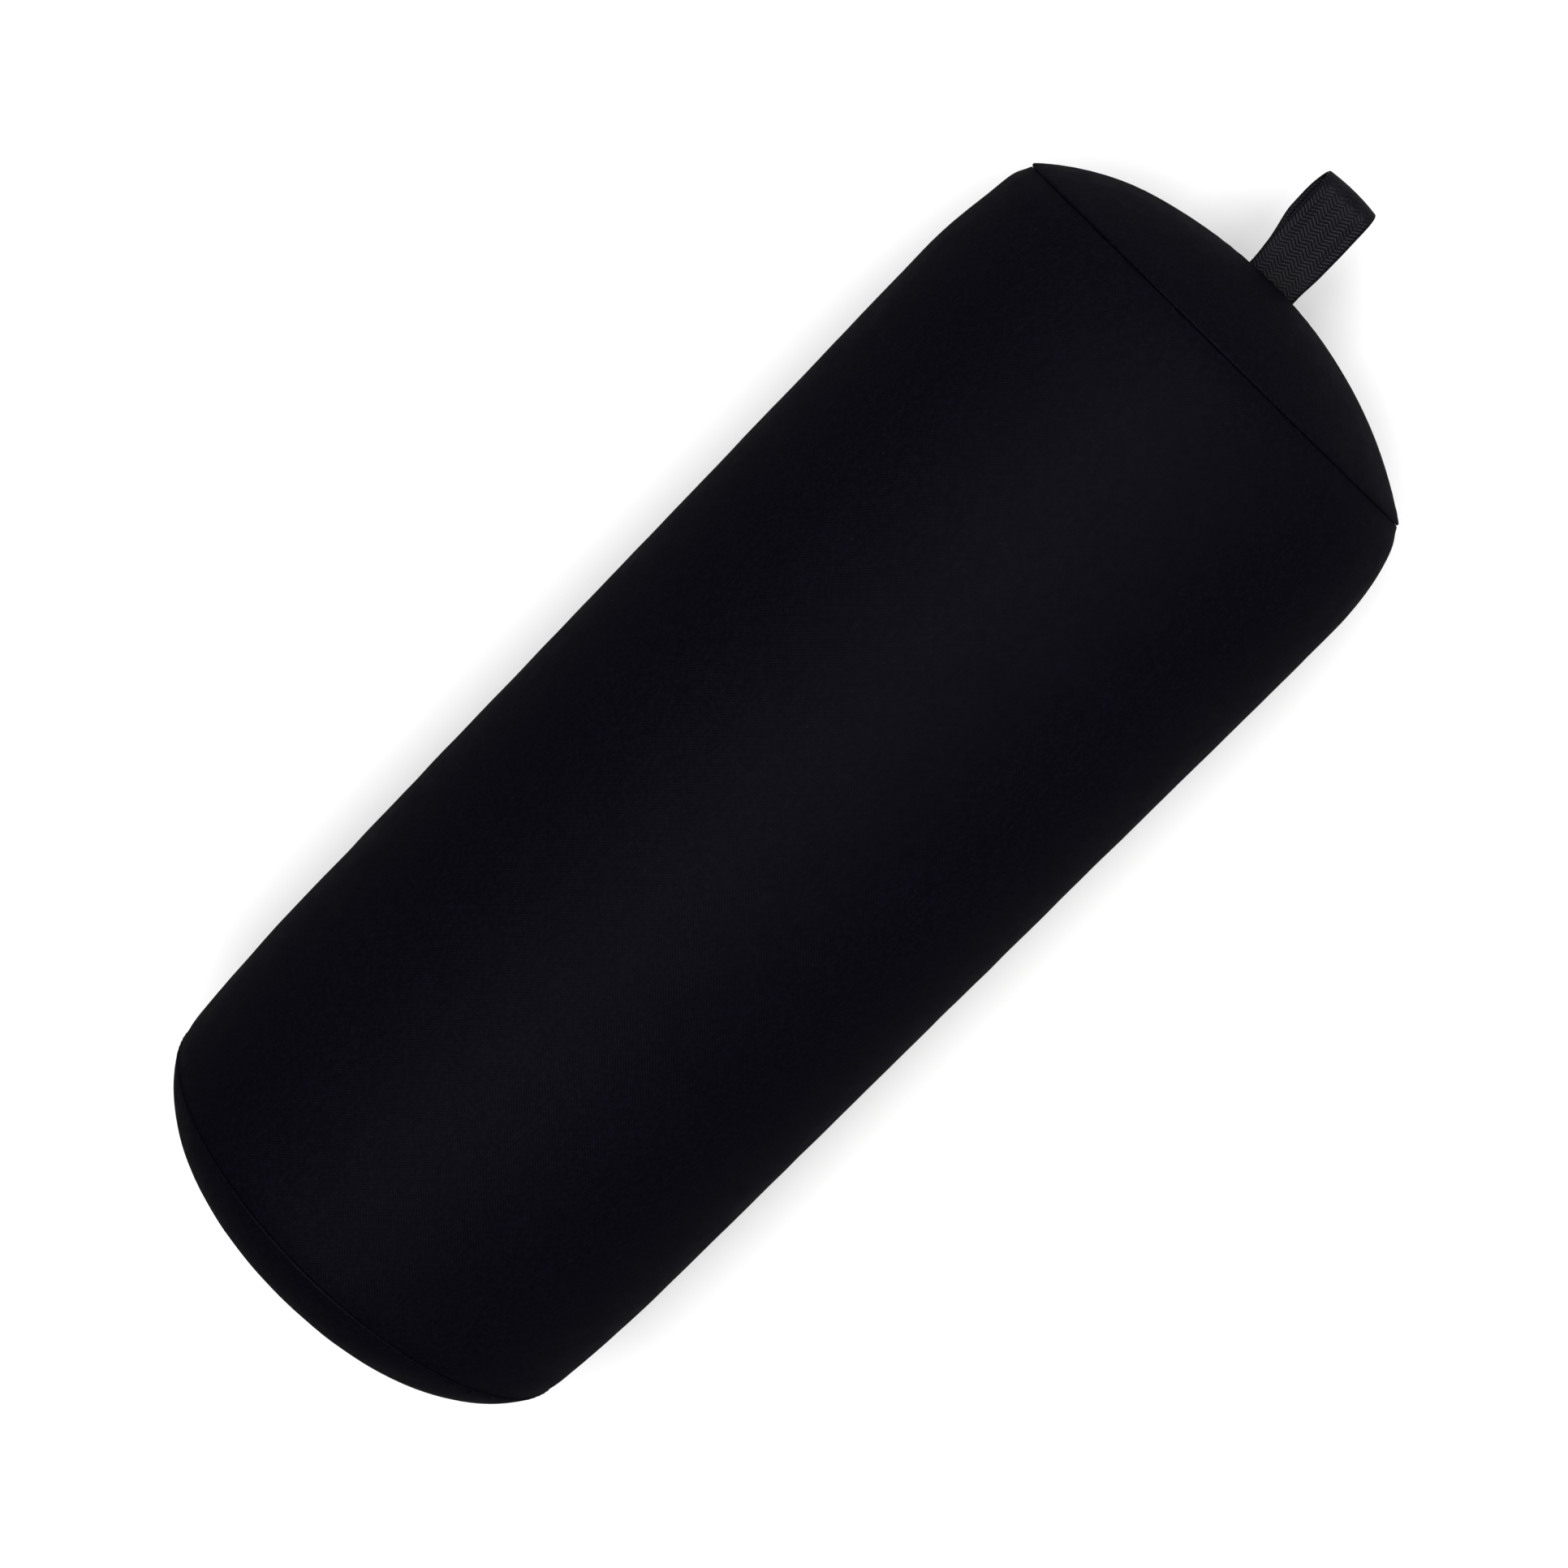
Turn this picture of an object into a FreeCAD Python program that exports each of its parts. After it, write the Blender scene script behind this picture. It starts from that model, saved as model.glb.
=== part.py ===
"""Covered foam roller: a foam core in a sewn fabric cover with domed ends, a hang loop and a zip.

The roller lies along X with the loop at the +X end. Its axis is parallel to the floor, which is z = 0,
and the origin is the middle of the narrow flat that the roller rests on. Sizes are in millimetres.
"""
import FreeCAD, Part
import math
import os
import Sketcher

DIMENSIONS = {
    # whole roller
    "roller_radius": 65,
    "seam_span": 292,
    "floor_flat_depth": 0.4,
    # shoulder and dome at the loop end
    "loop_shoulder_run": 30,
    "loop_dome_height": 19.3,
    "loop_cap_radius": 125,
    "loop_rim_radius": 70,
    "loop_rim_centre": 13.9,
    # shoulder and dome at the plain end, which is fuller at its rim
    "plain_shoulder_run": 44,
    "plain_dome_height": 20,
    "plain_cap_radius": 290,
    "plain_rim_radius": 33,
    "plain_rim_centre": 34,
    # cloth, foam and the spaces between layers
    "cloth": 1.2,
    "layer_gap": 0.1,
    "seam_allowance": 8,
    "overlock": 0.5,
    "core_radius": 50,
    "wrap_joint": 0.4,
    # webbing loop
    "webbing_width": 15,
    "webbing_thickness": 1.2,
    "loop_reach": 30,
    "loop_tip_radius": 4.3,
    "loop_sewn_length": 4.1,
    "loop_pivot_height": 1.5,
    "tack_length": 13,
    "tack_width": 2,
    "tack_height": 0.4,
    # zip
    "zip_angle": 115,
    "chain_length": 234,
    "slot_length": 240,
    "slot_width": 11.2,
    "tape_length": 258,
    "tape_width": 14,
    "tape_thickness": 0.7,
    "chain_channel": 1.4,
    "coil_width": 2.3,
    "coil_height": 1.9,
    "coil_crown_radius": 2.2,
    "coil_crown_height": 0.4,
    "zip_recess_depth": 4.8,
    "zip_recess_margin": 1,
    "stitch_margin": 2.5,
    "stitch_width": 0.6,
    "stitch_height": 0.35,
    "stop_length": 2.4,
    "stop_rise": 0.3,
    # slider and pull tab
    "slider_length": 13,
    "slider_nose_width": 9.6,
    "slider_tail_width": 7.6,
    "slider_nose_length": 3,
    "slider_nose_arc": 6.3,
    "slider_end_gap": 0.5,
    "wing_thickness": 1.1,
    "slider_play": 0.2,
    "coil_play": 0.3,
    "post_width": 0.8,
    "post_length": 2.5,
    "post_setback": 1.5,
    "bridge_length": 9,
    "bridge_width": 1.8,
    "bridge_height": 2.8,
    "bridge_bar": 0.9,
    "bridge_leg": 1.2,
    "tab_length": 19,
    "tab_width": 7.2,
    "tab_thickness": 1.2,
    "tab_eye_length": 7,
    "tab_eye_width": 3,
    "tab_pin_radius": 0.65,
}

doc = FreeCAD.newDocument("foam_roller")
sheet = doc.addObject("Spreadsheet::Sheet", "dims")
for row, (alias, size) in enumerate(DIMENSIONS.items(), start=1):
    sheet.set(f"A{row}", alias)
    sheet.set(f"B{row}", str(size))
    sheet.setAlias(f"B{row}", alias)
doc.recompute()

# Expressions that several pieces share. Each is text, so that the model stays bound to the sheet.
HALF_SPAN = "(dims.seam_span / 2)"
LINING = "(dims.cloth + dims.layer_gap)"
TAPE_BACK = f"({LINING} + dims.tape_thickness)"
TAPE_FRONT = f"(dims.roller_radius - {LINING})"
COIL_TOP = f"({TAPE_FRONT} + dims.coil_height)"
APEX = f"({HALF_SPAN} + dims.loop_dome_height)"
PAST = "5"  # how far a cutting box runs past what it cuts
BITE = "0.3"  # how far fused solids reach into each other

X_AXIS = FreeCAD.Vector(1, 0, 0)
Y_AXIS = FreeCAD.Vector(0, 1, 0)
Z_AXIS = FreeCAD.Vector(0, 0, 1)
ENDS = ("loop", "plain")
FULL_TURN = 360
HALF_TURN = 180


def value(expression):
    """The number that an expression on the sheet has now."""
    return float(sheet.evalExpression(str(expression)))


AXIS_HEIGHT = value("dims.roller_radius - dims.floor_flat_depth")
ON_AXIS = FreeCAD.Placement(Z_AXIS * AXIS_HEIGHT, FreeCAD.Rotation())
# The plain end's pieces are drawn towards +X, like the loop end's, and turned round.
ON_AXIS_TURNED = FreeCAD.Placement(Z_AXIS * AXIS_HEIGHT, FreeCAD.Rotation(Z_AXIS, HALF_TURN))
# In the zip's own frame, +Z points straight out of the cover and +Y points down.
ZIP_FRAME = FreeCAD.Placement(
    Z_AXIS * AXIS_HEIGHT, FreeCAD.Rotation(X_AXIS, -value("dims.zip_angle"))
)


def placed(piece, placement):
    piece.Placement = placement
    return piece


def arc_between(start, end, radius, side):
    """The short arc from start to end. side is 1 when its centre is left of the way from start to end."""
    chord = end - start
    normal = FreeCAD.Vector(-chord.y, chord.x, 0).normalize()
    centre = (start + end) / 2 + normal * side * math.sqrt(radius**2 - (chord.Length / 2) ** 2)
    first, last = (start, end) if side > 0 else (end, start)
    angles = [math.atan2(point.y - centre.y, point.x - centre.x) for point in (first, last)]
    return Part.ArcOfCircle(Part.Circle(centre, Z_AXIS, radius), *angles)


def fix_point(sketch, edge, end, corner, name):
    """Holds one end of an edge at a corner's two expressions. A zero puts the point on an axis."""
    for kind, expression, axis in (("DistanceX", corner[0], -2), ("DistanceY", corner[1], -1)):
        if expression == "0":
            sketch.addConstraint(Sketcher.Constraint("PointOnObject", edge, end, axis))
            continue
        index = sketch.addConstraint(
            Sketcher.Constraint(kind, -1, 1, edge, end, value(expression))
        )
        sketch.renameConstraint(index, f"{name}_{kind}")
        sketch.setExpression(f"Constraints.{name}_{kind}", expression)


def add_outline(sketch, corners, arcs, name):
    """Adds a closed outline. arcs maps an edge's number to its radius and the side of its centre."""
    points = [FreeCAD.Vector(value(across), value(up), 0) for across, up in corners]
    edges = []
    for number, start in enumerate(points):
        end = points[(number + 1) % len(points)]
        radius, side = arcs.get(number, (None, 1))
        shape = arc_between(start, end, value(radius), side) if radius else Part.LineSegment(start, end)
        first, last = (1, 2) if side > 0 else (2, 1)
        edge = sketch.addGeometry(shape)
        edges.append((edge, first, last))
        fix_point(sketch, edge, first, corners[number], f"{name}_corner{number}")
        if radius:
            index = sketch.addConstraint(Sketcher.Constraint("Radius", edge, value(radius)))
            sketch.renameConstraint(index, f"{name}_radius{number}")
            sketch.setExpression(f"Constraints.{name}_radius{number}", radius)
    for (edge, _, last), (following, first, _) in zip(edges, edges[1:] + edges[:1]):
        sketch.addConstraint(Sketcher.Constraint("Coincident", edge, last, following, first))


def new_body(name, plane_role, outlines):
    """A body with one sketch on one of its own origin planes."""
    body = doc.addObject("PartDesign::Body", name)
    sketch = body.newObject("Sketcher::SketchObject", f"{name}_sketch")
    plane = next(feature for feature in body.Origin.OriginFeatures if feature.Role == plane_role)
    sketch.AttachmentSupport = [(plane, "")]
    sketch.MapMode = "FlatFace"
    for number, (corners, arcs) in enumerate(outlines):
        add_outline(sketch, corners, arcs, f"outline{number}")
    return body, sketch


def turned(name, corners, arcs, angle=FULL_TURN, placement=ON_AXIS):
    """A body of revolution round the roller's axis, from an outline of (along, outward) corners."""
    body, sketch = new_body(name, "XZ_Plane", [(corners, arcs)])
    revolution = body.newObject("PartDesign::Revolution", f"{name}_revolution")
    revolution.Profile = sketch
    revolution.ReferenceAxis = (sketch, ["H_Axis"])
    revolution.Angle = angle
    revolution.Midplane = angle != FULL_TURN
    return placed(body, placement)


def padded(name, plane_role, outlines, length, placement, symmetric=True):
    """A straight body from outlines on one of its origin planes."""
    body, sketch = new_body(name, plane_role, outlines)
    pad = body.newObject("PartDesign::Pad", f"{name}_pad")
    pad.Profile = sketch
    pad.setExpression("Length", length)
    if symmetric:
        pad.SideType = "Symmetric"
    return placed(body, placement)


def box(name, low, high, frame=ON_AXIS):
    """A box between two corners, given as expressions in a frame."""
    solid = doc.addObject("Part::Box", name)
    for side, start, end in zip(("Length", "Width", "Height"), low, high):
        solid.setExpression(side, f"({end}) - ({start})")
    corner = FreeCAD.Vector(*[value(expression) for expression in low])
    return placed(solid, frame.multiply(FreeCAD.Placement(corner, FreeCAD.Rotation())))


def zip_box(name, length, width, below, above):
    """A box centred on the zip, from a depth below the cover's surface to a height above it."""
    return box(
        name,
        (f"-1 * {length} / 2", f"-1 * {width} / 2", f"dims.roller_radius - {below}"),
        (f"{length} / 2", f"{width} / 2", f"dims.roller_radius + {above}"),
        ZIP_FRAME,
    )


def rod(name, radius, length, placement):
    solid = doc.addObject("Part::Cylinder", name)
    solid.setExpression("Radius", radius)
    solid.setExpression("Height", length)
    return placed(solid, placement)


def cut(name, base, *tools):
    for number, tool in enumerate(tools):
        result = doc.addObject("Part::Cut", name if tool is tools[-1] else f"{name}_cut{number}")
        result.Base = base
        result.Tool = tool
        base = result
    return base


def fuse(name, *pieces):
    result = doc.addObject("Part::MultiFuse", name)
    result.Shapes = list(pieces)
    return result


def common(name, *pieces):
    result = doc.addObject("Part::MultiCommon", name)
    result.Shapes = list(pieces)
    return result


def group(name, *pieces):
    """One sub-part made of several separate solids."""
    result = doc.addObject("Part::Compound", name)
    result.Links = list(pieces)
    return result


# Expressions for the roller's profile. offset is the depth below the outer surface, and plane is a
# distance along the axis from the roller's middle towards that end.


def cap_centre(end):
    return f"({HALF_SPAN} + dims.{end}_dome_height - dims.{end}_cap_radius)"


def rim_reach(end):
    """Distance along the axis between the centres of the rim's arc and the cap's arc."""
    centres = f"(dims.{end}_cap_radius - dims.{end}_rim_radius)"
    return f"sqrt({centres}^2 - dims.{end}_rim_centre^2)"


def dome_at(end, offset, plane):
    """Radius of the dome's rim at a plane."""
    along = f"({plane} - {cap_centre(end)} - {rim_reach(end)})"
    return f"(dims.{end}_rim_centre + sqrt((dims.{end}_rim_radius - {offset})^2 - {along}^2))"


def seam_radius(end):
    return dome_at(end, "0", HALF_SPAN)


def shoulder_arc(end):
    """Radius of the arc that meets the straight side and ends at the seam."""
    drop = f"(dims.roller_radius - {seam_radius(end)})"
    return f"((dims.{end}_shoulder_run^2 + {drop}^2) / (2 * {drop}))"


def straight_end(end):
    return f"({HALF_SPAN} - dims.{end}_shoulder_run)"


def side_at(end, offset, plane):
    """Radius of the side's shoulder at a plane."""
    arc = shoulder_arc(end)
    along = f"({plane} - {straight_end(end)})"
    return f"(dims.roller_radius - {arc} + sqrt(({arc} - {offset})^2 - {along}^2))"


def dome_corners(end, offset, plane):
    """Rim, join of rim and cap, and apex of a dome, from a plane outward."""
    share = f"((dims.{end}_cap_radius - {offset}) / (dims.{end}_cap_radius - dims.{end}_rim_radius))"
    join = (f"({cap_centre(end)} + {share} * {rim_reach(end)})", f"({share} * dims.{end}_rim_centre)")
    apex = (f"({HALF_SPAN} + dims.{end}_dome_height - {offset})", "0")
    return [(plane, dome_at(end, offset, plane)), join, apex]


def dome_arcs(end, offset, first, to_apex):
    """A dome's two arcs, drawn from the rim to the apex or back, as edges first and first + 1."""
    rim = f"(dims.{end}_rim_radius - {offset})"
    cap = f"(dims.{end}_cap_radius - {offset})"
    radii = (rim, cap) if to_apex else (cap, rim)
    side = -1 if to_apex else 1
    return {first + number: (radius, side) for number, radius in enumerate(radii)}


def negative(expression):
    return f"-1 * {expression}"


def side_line(offset, planes):
    """The side's four corners at a depth, from the plain end to the loop end."""
    ends = dict(zip(ENDS, planes))
    straight = f"(dims.roller_radius - {offset})"
    return [
        (negative(ends["plain"]), side_at("plain", offset, ends["plain"])),
        (negative(straight_end("plain")), straight),
        (straight_end("loop"), straight),
        (ends["loop"], side_at("loop", offset, ends["loop"])),
    ]


def side_shell(name, outer, inner, plane):
    """A layer that follows the roller's side between two depths, as far as a plane at each end."""
    outside = side_line(outer, (plane, plane))
    inside = side_line(inner, (plane, plane))[::-1]
    arcs = {
        0: (f"({shoulder_arc('plain')} - {outer})", -1),
        2: (f"({shoulder_arc('loop')} - {outer})", -1),
        4: (f"({shoulder_arc('loop')} - {inner})", 1),
        6: (f"({shoulder_arc('plain')} - {inner})", 1),
    }
    return turned(name, outside + inside, arcs)


def allowance_edge(end):
    """Radius of the turned-in cloth's raw edge."""
    return f"({seam_radius(end)} - dims.seam_allowance)"


def fabric_side_shell():
    """The side panel's cloth with its edges turned in at both seams."""
    fold = f"({HALF_SPAN} - dims.cloth)"
    outside = side_line("0", (HALF_SPAN, HALF_SPAN))
    inside = side_line("dims.cloth", (fold, fold))[::-1]
    corners = [
        *outside,
        (HALF_SPAN, allowance_edge("loop")),
        (fold, allowance_edge("loop")),
        *inside,
        (negative(fold), allowance_edge("plain")),
        (negative(HALF_SPAN), allowance_edge("plain")),
    ]
    arcs = {
        0: (shoulder_arc("plain"), -1),
        2: (shoulder_arc("loop"), -1),
        6: (f"({shoulder_arc('loop')} - dims.cloth)", 1),
        8: (f"({shoulder_arc('plain')} - dims.cloth)", 1),
    }
    return turned("side_shell", corners, arcs)


def fabric_dome(name, end, angle=FULL_TURN, placement=ON_AXIS):
    """An end panel's cloth with its edge turned in at the seam."""
    fold = f"({HALF_SPAN} + dims.cloth)"
    corners = [
        *dome_corners(end, "0", HALF_SPAN),
        *dome_corners(end, "dims.cloth", fold)[::-1],
        (fold, allowance_edge(end)),
        (HALF_SPAN, allowance_edge(end)),
    ]
    arcs = {**dome_arcs(end, "0", 0, True), **dome_arcs(end, "dims.cloth", 3, False)}
    return turned(name, corners, arcs, angle, placement)


def dome_layer(name, end, outer, inner):
    """A layer under the dome between two depths, clear of the seam's turned-in cloth."""
    plane = f"({HALF_SPAN} + {LINING})"
    corners = dome_corners(end, outer, plane) + dome_corners(end, inner, plane)[::-1]
    arcs = {**dome_arcs(end, outer, 0, True), **dome_arcs(end, inner, 3, False)}
    return turned(name, corners, arcs)


def foam_dome(name, end, placement=ON_AXIS):
    """A soft end pad: a dome that steps in to a plug inside the seam's turned-in cloth."""
    step = f"({HALF_SPAN} + {LINING})"
    base = f"({HALF_SPAN} - {LINING})"
    plug = f"({allowance_edge(end)} - dims.overlock - dims.layer_gap)"
    corners = [*dome_corners(end, LINING, step), (base, "0"), (base, plug), (step, plug)]
    return turned(name, corners, dome_arcs(end, LINING, 0, True), placement=placement)


def seam_thread(name, end, placement):
    """Overlock stitching, a thin band over the raw edges of the two turned-in cloths."""
    inner = f"({allowance_edge(end)} - dims.overlock)"
    near = f"({HALF_SPAN} - dims.cloth)"
    far = f"({HALF_SPAN} + dims.cloth)"
    corners = [(near, inner), (far, inner), (far, allowance_edge(end)), (near, allowance_edge(end))]
    return turned(name, corners, {}, placement=placement)


# Foam


def make_core():
    """Dense foam cylinder between the two turned-in seams."""
    length = f"2 * ({HALF_SPAN} - {LINING})"
    start = FreeCAD.Vector(-value(length) / 2, 0, AXIS_HEIGHT)
    lying = FreeCAD.Placement(start, FreeCAD.Rotation(Y_AXIS, 90))
    return rod("firm_core", "dims.core_radius", length, lying)


def make_wrap():
    """Softer foam sheet round the core, butted along its underside and recessed under the zip."""
    plane = f"({HALF_SPAN} - {LINING})"
    corners = [
        *side_line(LINING, (plane, plane)),
        (plane, "dims.core_radius"),
        (negative(plane), "dims.core_radius"),
    ]
    arcs = {
        0: (f"({shoulder_arc('plain')} - {LINING})", -1),
        2: (f"({shoulder_arc('loop')} - {LINING})", -1),
    }
    tube = turned("wrap_tube", corners, arcs)
    joint = box(
        "wrap_joint_gap",
        (negative(HALF_SPAN), "-1 * dims.wrap_joint / 2", negative("dims.roller_radius")),
        (HALF_SPAN, "dims.wrap_joint / 2", "0"),
    )
    recess = zip_box(
        "wrap_zip_recess",
        "(dims.tape_length + 2 * dims.zip_recess_margin)",
        "2 * (dims.tape_width + dims.zip_recess_margin)",
        "dims.zip_recess_depth",
        PAST,
    )
    return cut("foam_wrap", tube, joint, recess)


# Cover


def make_side_panel():
    """Cloth tube with a slot for the zip and the narrow flat that it rests on."""
    slot = zip_box("zip_slot", "dims.slot_length", "dims.slot_width", TAPE_BACK, PAST)
    floor = box(
        "below_floor",
        (negative("dims.seam_span"), negative("dims.roller_radius"), "-1 * dims.roller_radius"),
        ("dims.seam_span", "dims.roller_radius", "0"),
        FreeCAD.Placement(),
    )
    return cut("side_panel", fabric_side_shell(), slot, floor)


HUMP_INSIDE = "(dims.webbing_thickness + dims.layer_gap)"
HUMP_OUTSIDE = f"({HUMP_INSIDE} + dims.cloth)"
CHANNEL_HALF = "(dims.webbing_width / 2 + dims.layer_gap)"
FLAP_DEPTH = "(dims.cloth + dims.seam_allowance)"


def make_loop_end_panel():
    """Two half discs of cloth, seamed across the roller. The seam spreads round the webbing's tails."""
    half = fabric_dome("half_dome", "loop", HALF_TURN)
    flap_zone = dome_layer("flap_zone", "loop", "0", FLAP_DEPTH)
    flat = box(
        "flap_flat",
        ("0", negative("dims.roller_radius"), "0"),
        (APEX, "dims.roller_radius", "dims.cloth"),
    )
    hump_half = f"({CHANNEL_HALF} + dims.cloth)"
    hump = box("flap_hump", ("0", negative(hump_half), "0"), (APEX, hump_half, HUMP_OUTSIDE))
    flap = common("flap", flap_zone, fuse("flap_boxes", flat, hump))
    channel = box(
        "tail_channel",
        ("0", negative(CHANNEL_HALF), f"-1 * {PAST}"),
        (f"{APEX} + {PAST}", CHANNEL_HALF, HUMP_INSIDE),
    )
    upper = cut("end_panel_upper_half", fuse("half_dome_with_flap", half, flap), channel)
    lower = doc.addObject("Part::Mirroring", "end_panel_lower_half")
    lower.Source = upper
    lower.Base = Z_AXIS * AXIS_HEIGHT
    lower.Normal = Z_AXIS
    return [upper, lower]


def make_loop_end_pad():
    """The pad at the loop end, slit to take the centre seam."""
    slit_half = f"({HUMP_OUTSIDE} + dims.tack_height + dims.layer_gap)"
    depth = f"({FLAP_DEPTH} + dims.overlock + dims.layer_gap)"
    slit = common(
        "pad_slit",
        dome_layer("slit_zone", "loop", "0", depth),
        box(
            "slit_box",
            ("0", negative("dims.roller_radius"), negative(slit_half)),
            (APEX, "dims.roller_radius", slit_half),
        ),
    )
    return cut("end_pad_loop_end", foam_dome("pad_dome", "loop"), slit)


def make_centre_seam_thread():
    """Overlock stitching along the raw edges of the centre seam."""
    zone = dome_layer("overlock_zone", "loop", FLAP_DEPTH, f"({FLAP_DEPTH} + dims.overlock)")
    band = box(
        "overlock_band",
        ("0", negative("dims.roller_radius"), negative("dims.cloth")),
        (APEX, "dims.roller_radius", "dims.cloth"),
    )
    return common("centre_seam_thread", zone, band)


# Webbing loop


def make_loop():
    """Teardrop of webbing, seen from the side in the XZ plane and as wide as the webbing along Y."""
    base = "dims.webbing_thickness"
    tip = "dims.loop_tip_radius"
    inner_tip = f"({tip} - dims.webbing_thickness)"
    tip_centre = f"(dims.loop_reach - dims.loop_pivot_height - {tip})"
    sine = f"(({tip} - {base}) / {tip_centre})"
    cosine = f"sqrt(1 - {sine}^2)"

    def tangent(centre, radius, side):
        return (f"({centre} - {radius} * {sine})", f"({side} * {radius} * {cosine})")

    outer = [
        tangent("0", base, 1),
        tangent(tip_centre, tip, 1),
        (f"({tip_centre} + {tip})", "0"),
        tangent(tip_centre, tip, -1),
        tangent("0", base, -1),
        (negative(base), "0"),
    ]
    outer_arcs = {1: (tip, -1), 2: (tip, -1), 4: (base, -1), 5: (base, -1)}
    sewn = "dims.loop_sewn_length"
    crotch = f"({sewn} * {sine} / {cosine})"
    inner = [
        (sewn, crotch),
        tangent(tip_centre, inner_tip, 1),
        (f"({tip_centre} + {inner_tip})", "0"),
        tangent(tip_centre, inner_tip, -1),
        (sewn, negative(crotch)),
    ]
    inner_arcs = {1: (inner_tip, -1), 2: (inner_tip, -1)}
    pivot = FreeCAD.Vector(value(f"{APEX} + dims.loop_pivot_height"), 0, AXIS_HEIGHT)
    outlines = [(outer, outer_arcs), (inner, inner_arcs)]
    at_pivot = FreeCAD.Placement(pivot, FreeCAD.Rotation())
    return padded("hang_loop", "XZ_Plane", outlines, "dims.webbing_width", at_pivot)


def make_loop_tails():
    """The webbing's two ends, which lie between the turned-in cloths of the centre seam."""
    half = "dims.webbing_width / 2"
    start = f"{APEX} - {FLAP_DEPTH}"
    upper = box("upper_tail", (start, f"-1 * {half}", "0"), (APEX, half, "dims.webbing_thickness"))
    lower = box("lower_tail", (start, f"-1 * {half}", "-1 * dims.webbing_thickness"), (APEX, half, "0"))
    return group("hang_loop_tails", upper, lower)


def make_bar_tacks():
    """A dense line of stitches on each face of the centre seam, across the webbing."""
    half = "dims.tack_length / 2"
    start = f"({APEX} - {FLAP_DEPTH} / 2 - dims.tack_width)"
    end = f"({start} + dims.tack_width)"
    top = f"({HUMP_OUTSIDE} + dims.tack_height)"
    upper = box("upper_tack", (start, f"-1 * {half}", HUMP_OUTSIDE), (end, half, top))
    lower = box("lower_tack", (start, f"-1 * {half}", negative(top)), (end, half, negative(HUMP_OUTSIDE)))
    return group("loop_bar_tacks", upper, lower)


# Zip


def make_tapes():
    """The zip's two woven tapes, which follow the cover's inside. The upper one has negative Y."""
    end = f"({HALF_SPAN} - {LINING})"
    tapes = []
    edges = {
        "upper": ("-1 * dims.tape_width", "-1 * dims.chain_channel / 2"),
        "lower": ("dims.chain_channel / 2", "dims.tape_width"),
    }
    for side, (low, high) in edges.items():
        layer = side_shell(f"{side}_tape_layer", LINING, TAPE_BACK, end)
        strip = box(
            f"{side}_tape_strip",
            ("-1 * dims.tape_length / 2", low, "dims.core_radius"),
            ("dims.tape_length / 2", high, "dims.roller_radius"),
            ZIP_FRAME,
        )
        tapes.append(common(f"zip_tape_{side}", layer, strip))
    return tapes


def make_coils():
    """The closed coils as two strips with crowned tops, each side of the slider post's channel."""
    near = "(dims.chain_channel / 2)"
    far = f"({near} + dims.coil_width)"
    bottom = TAPE_FRONT
    shoulder = f"({COIL_TOP} - dims.coil_crown_height)"
    length = "dims.chain_length - 2 * dims.stop_length"
    coils = []
    for side, sign in (("upper", "-1"), ("lower", "1")):
        edges = [(f"{sign} * {near}", bottom), (f"{sign} * {far}", bottom)]
        corners = [*edges, (edges[1][0], shoulder), (edges[0][0], shoulder)]
        arcs = {2: ("dims.coil_crown_radius", int(sign))}
        coils.append(padded(f"zip_coil_{side}", "YZ_Plane", [(corners, arcs)], length, ZIP_FRAME))
    return coils


def make_stops():
    """A metal crimp after each coil at the closed end, and one after both at the other end."""
    low = TAPE_FRONT
    high = f"({COIL_TOP} + dims.stop_rise)"
    reach = "(dims.chain_channel / 2 + dims.coil_width)"
    end = "(dims.chain_length / 2)"
    start = f"({end} - dims.stop_length)"
    top = [
        box(f"top_stop_{side}", (start, near, low), (end, far, high), ZIP_FRAME)
        for side, near, far in (
            ("upper", negative(reach), "-1 * dims.chain_channel / 2"),
            ("lower", "dims.chain_channel / 2", reach),
        )
    ]
    bottom = box(
        "zip_bottom_stop",
        (negative(end), negative(reach), low),
        (negative(start), reach, high),
        ZIP_FRAME,
    )
    return [group("zip_top_stops", *top), bottom]


def make_topstitch():
    """The line of stitching round the zip's slot, through the cloth and the tapes."""
    end = f"({HALF_SPAN} - dims.cloth)"
    layer = side_shell("stitch_layer", "(-1 * dims.stitch_height)", "0", end)
    length = "(dims.slot_length + 2 * dims.stitch_margin)"
    width = "(dims.slot_width + 2 * dims.stitch_margin)"
    wide = "2 * dims.stitch_width"
    outer = zip_box("stitch_outside", f"({length} + {wide})", f"({width} + {wide})", PAST, PAST)
    inner = zip_box("stitch_inside", length, width, f"2 * {PAST}", f"2 * {PAST}")
    return common("zip_topstitch", layer, cut("stitch_frame", outer, inner))


# Slider and pull tab. The closed zip's slider is next to the top stops, at the loop end.
SLIDER_CENTRE = value(
    "(dims.chain_length - dims.slider_length) / 2 - dims.stop_length - dims.slider_end_gap"
)
SLIDER_FRAME = ZIP_FRAME.multiply(FreeCAD.Placement(X_AXIS * SLIDER_CENTRE, FreeCAD.Rotation()))
WING_BACK = f"({TAPE_FRONT} - dims.tape_thickness - 2 * dims.slider_play)"
WING_FRONT = f"({COIL_TOP} + dims.slider_play)"
SLIDER_TOP = f"({WING_FRONT} + dims.wing_thickness)"
PIN_HEIGHT = f"({SLIDER_TOP} + dims.tab_pin_radius + dims.slider_play)"


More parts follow.
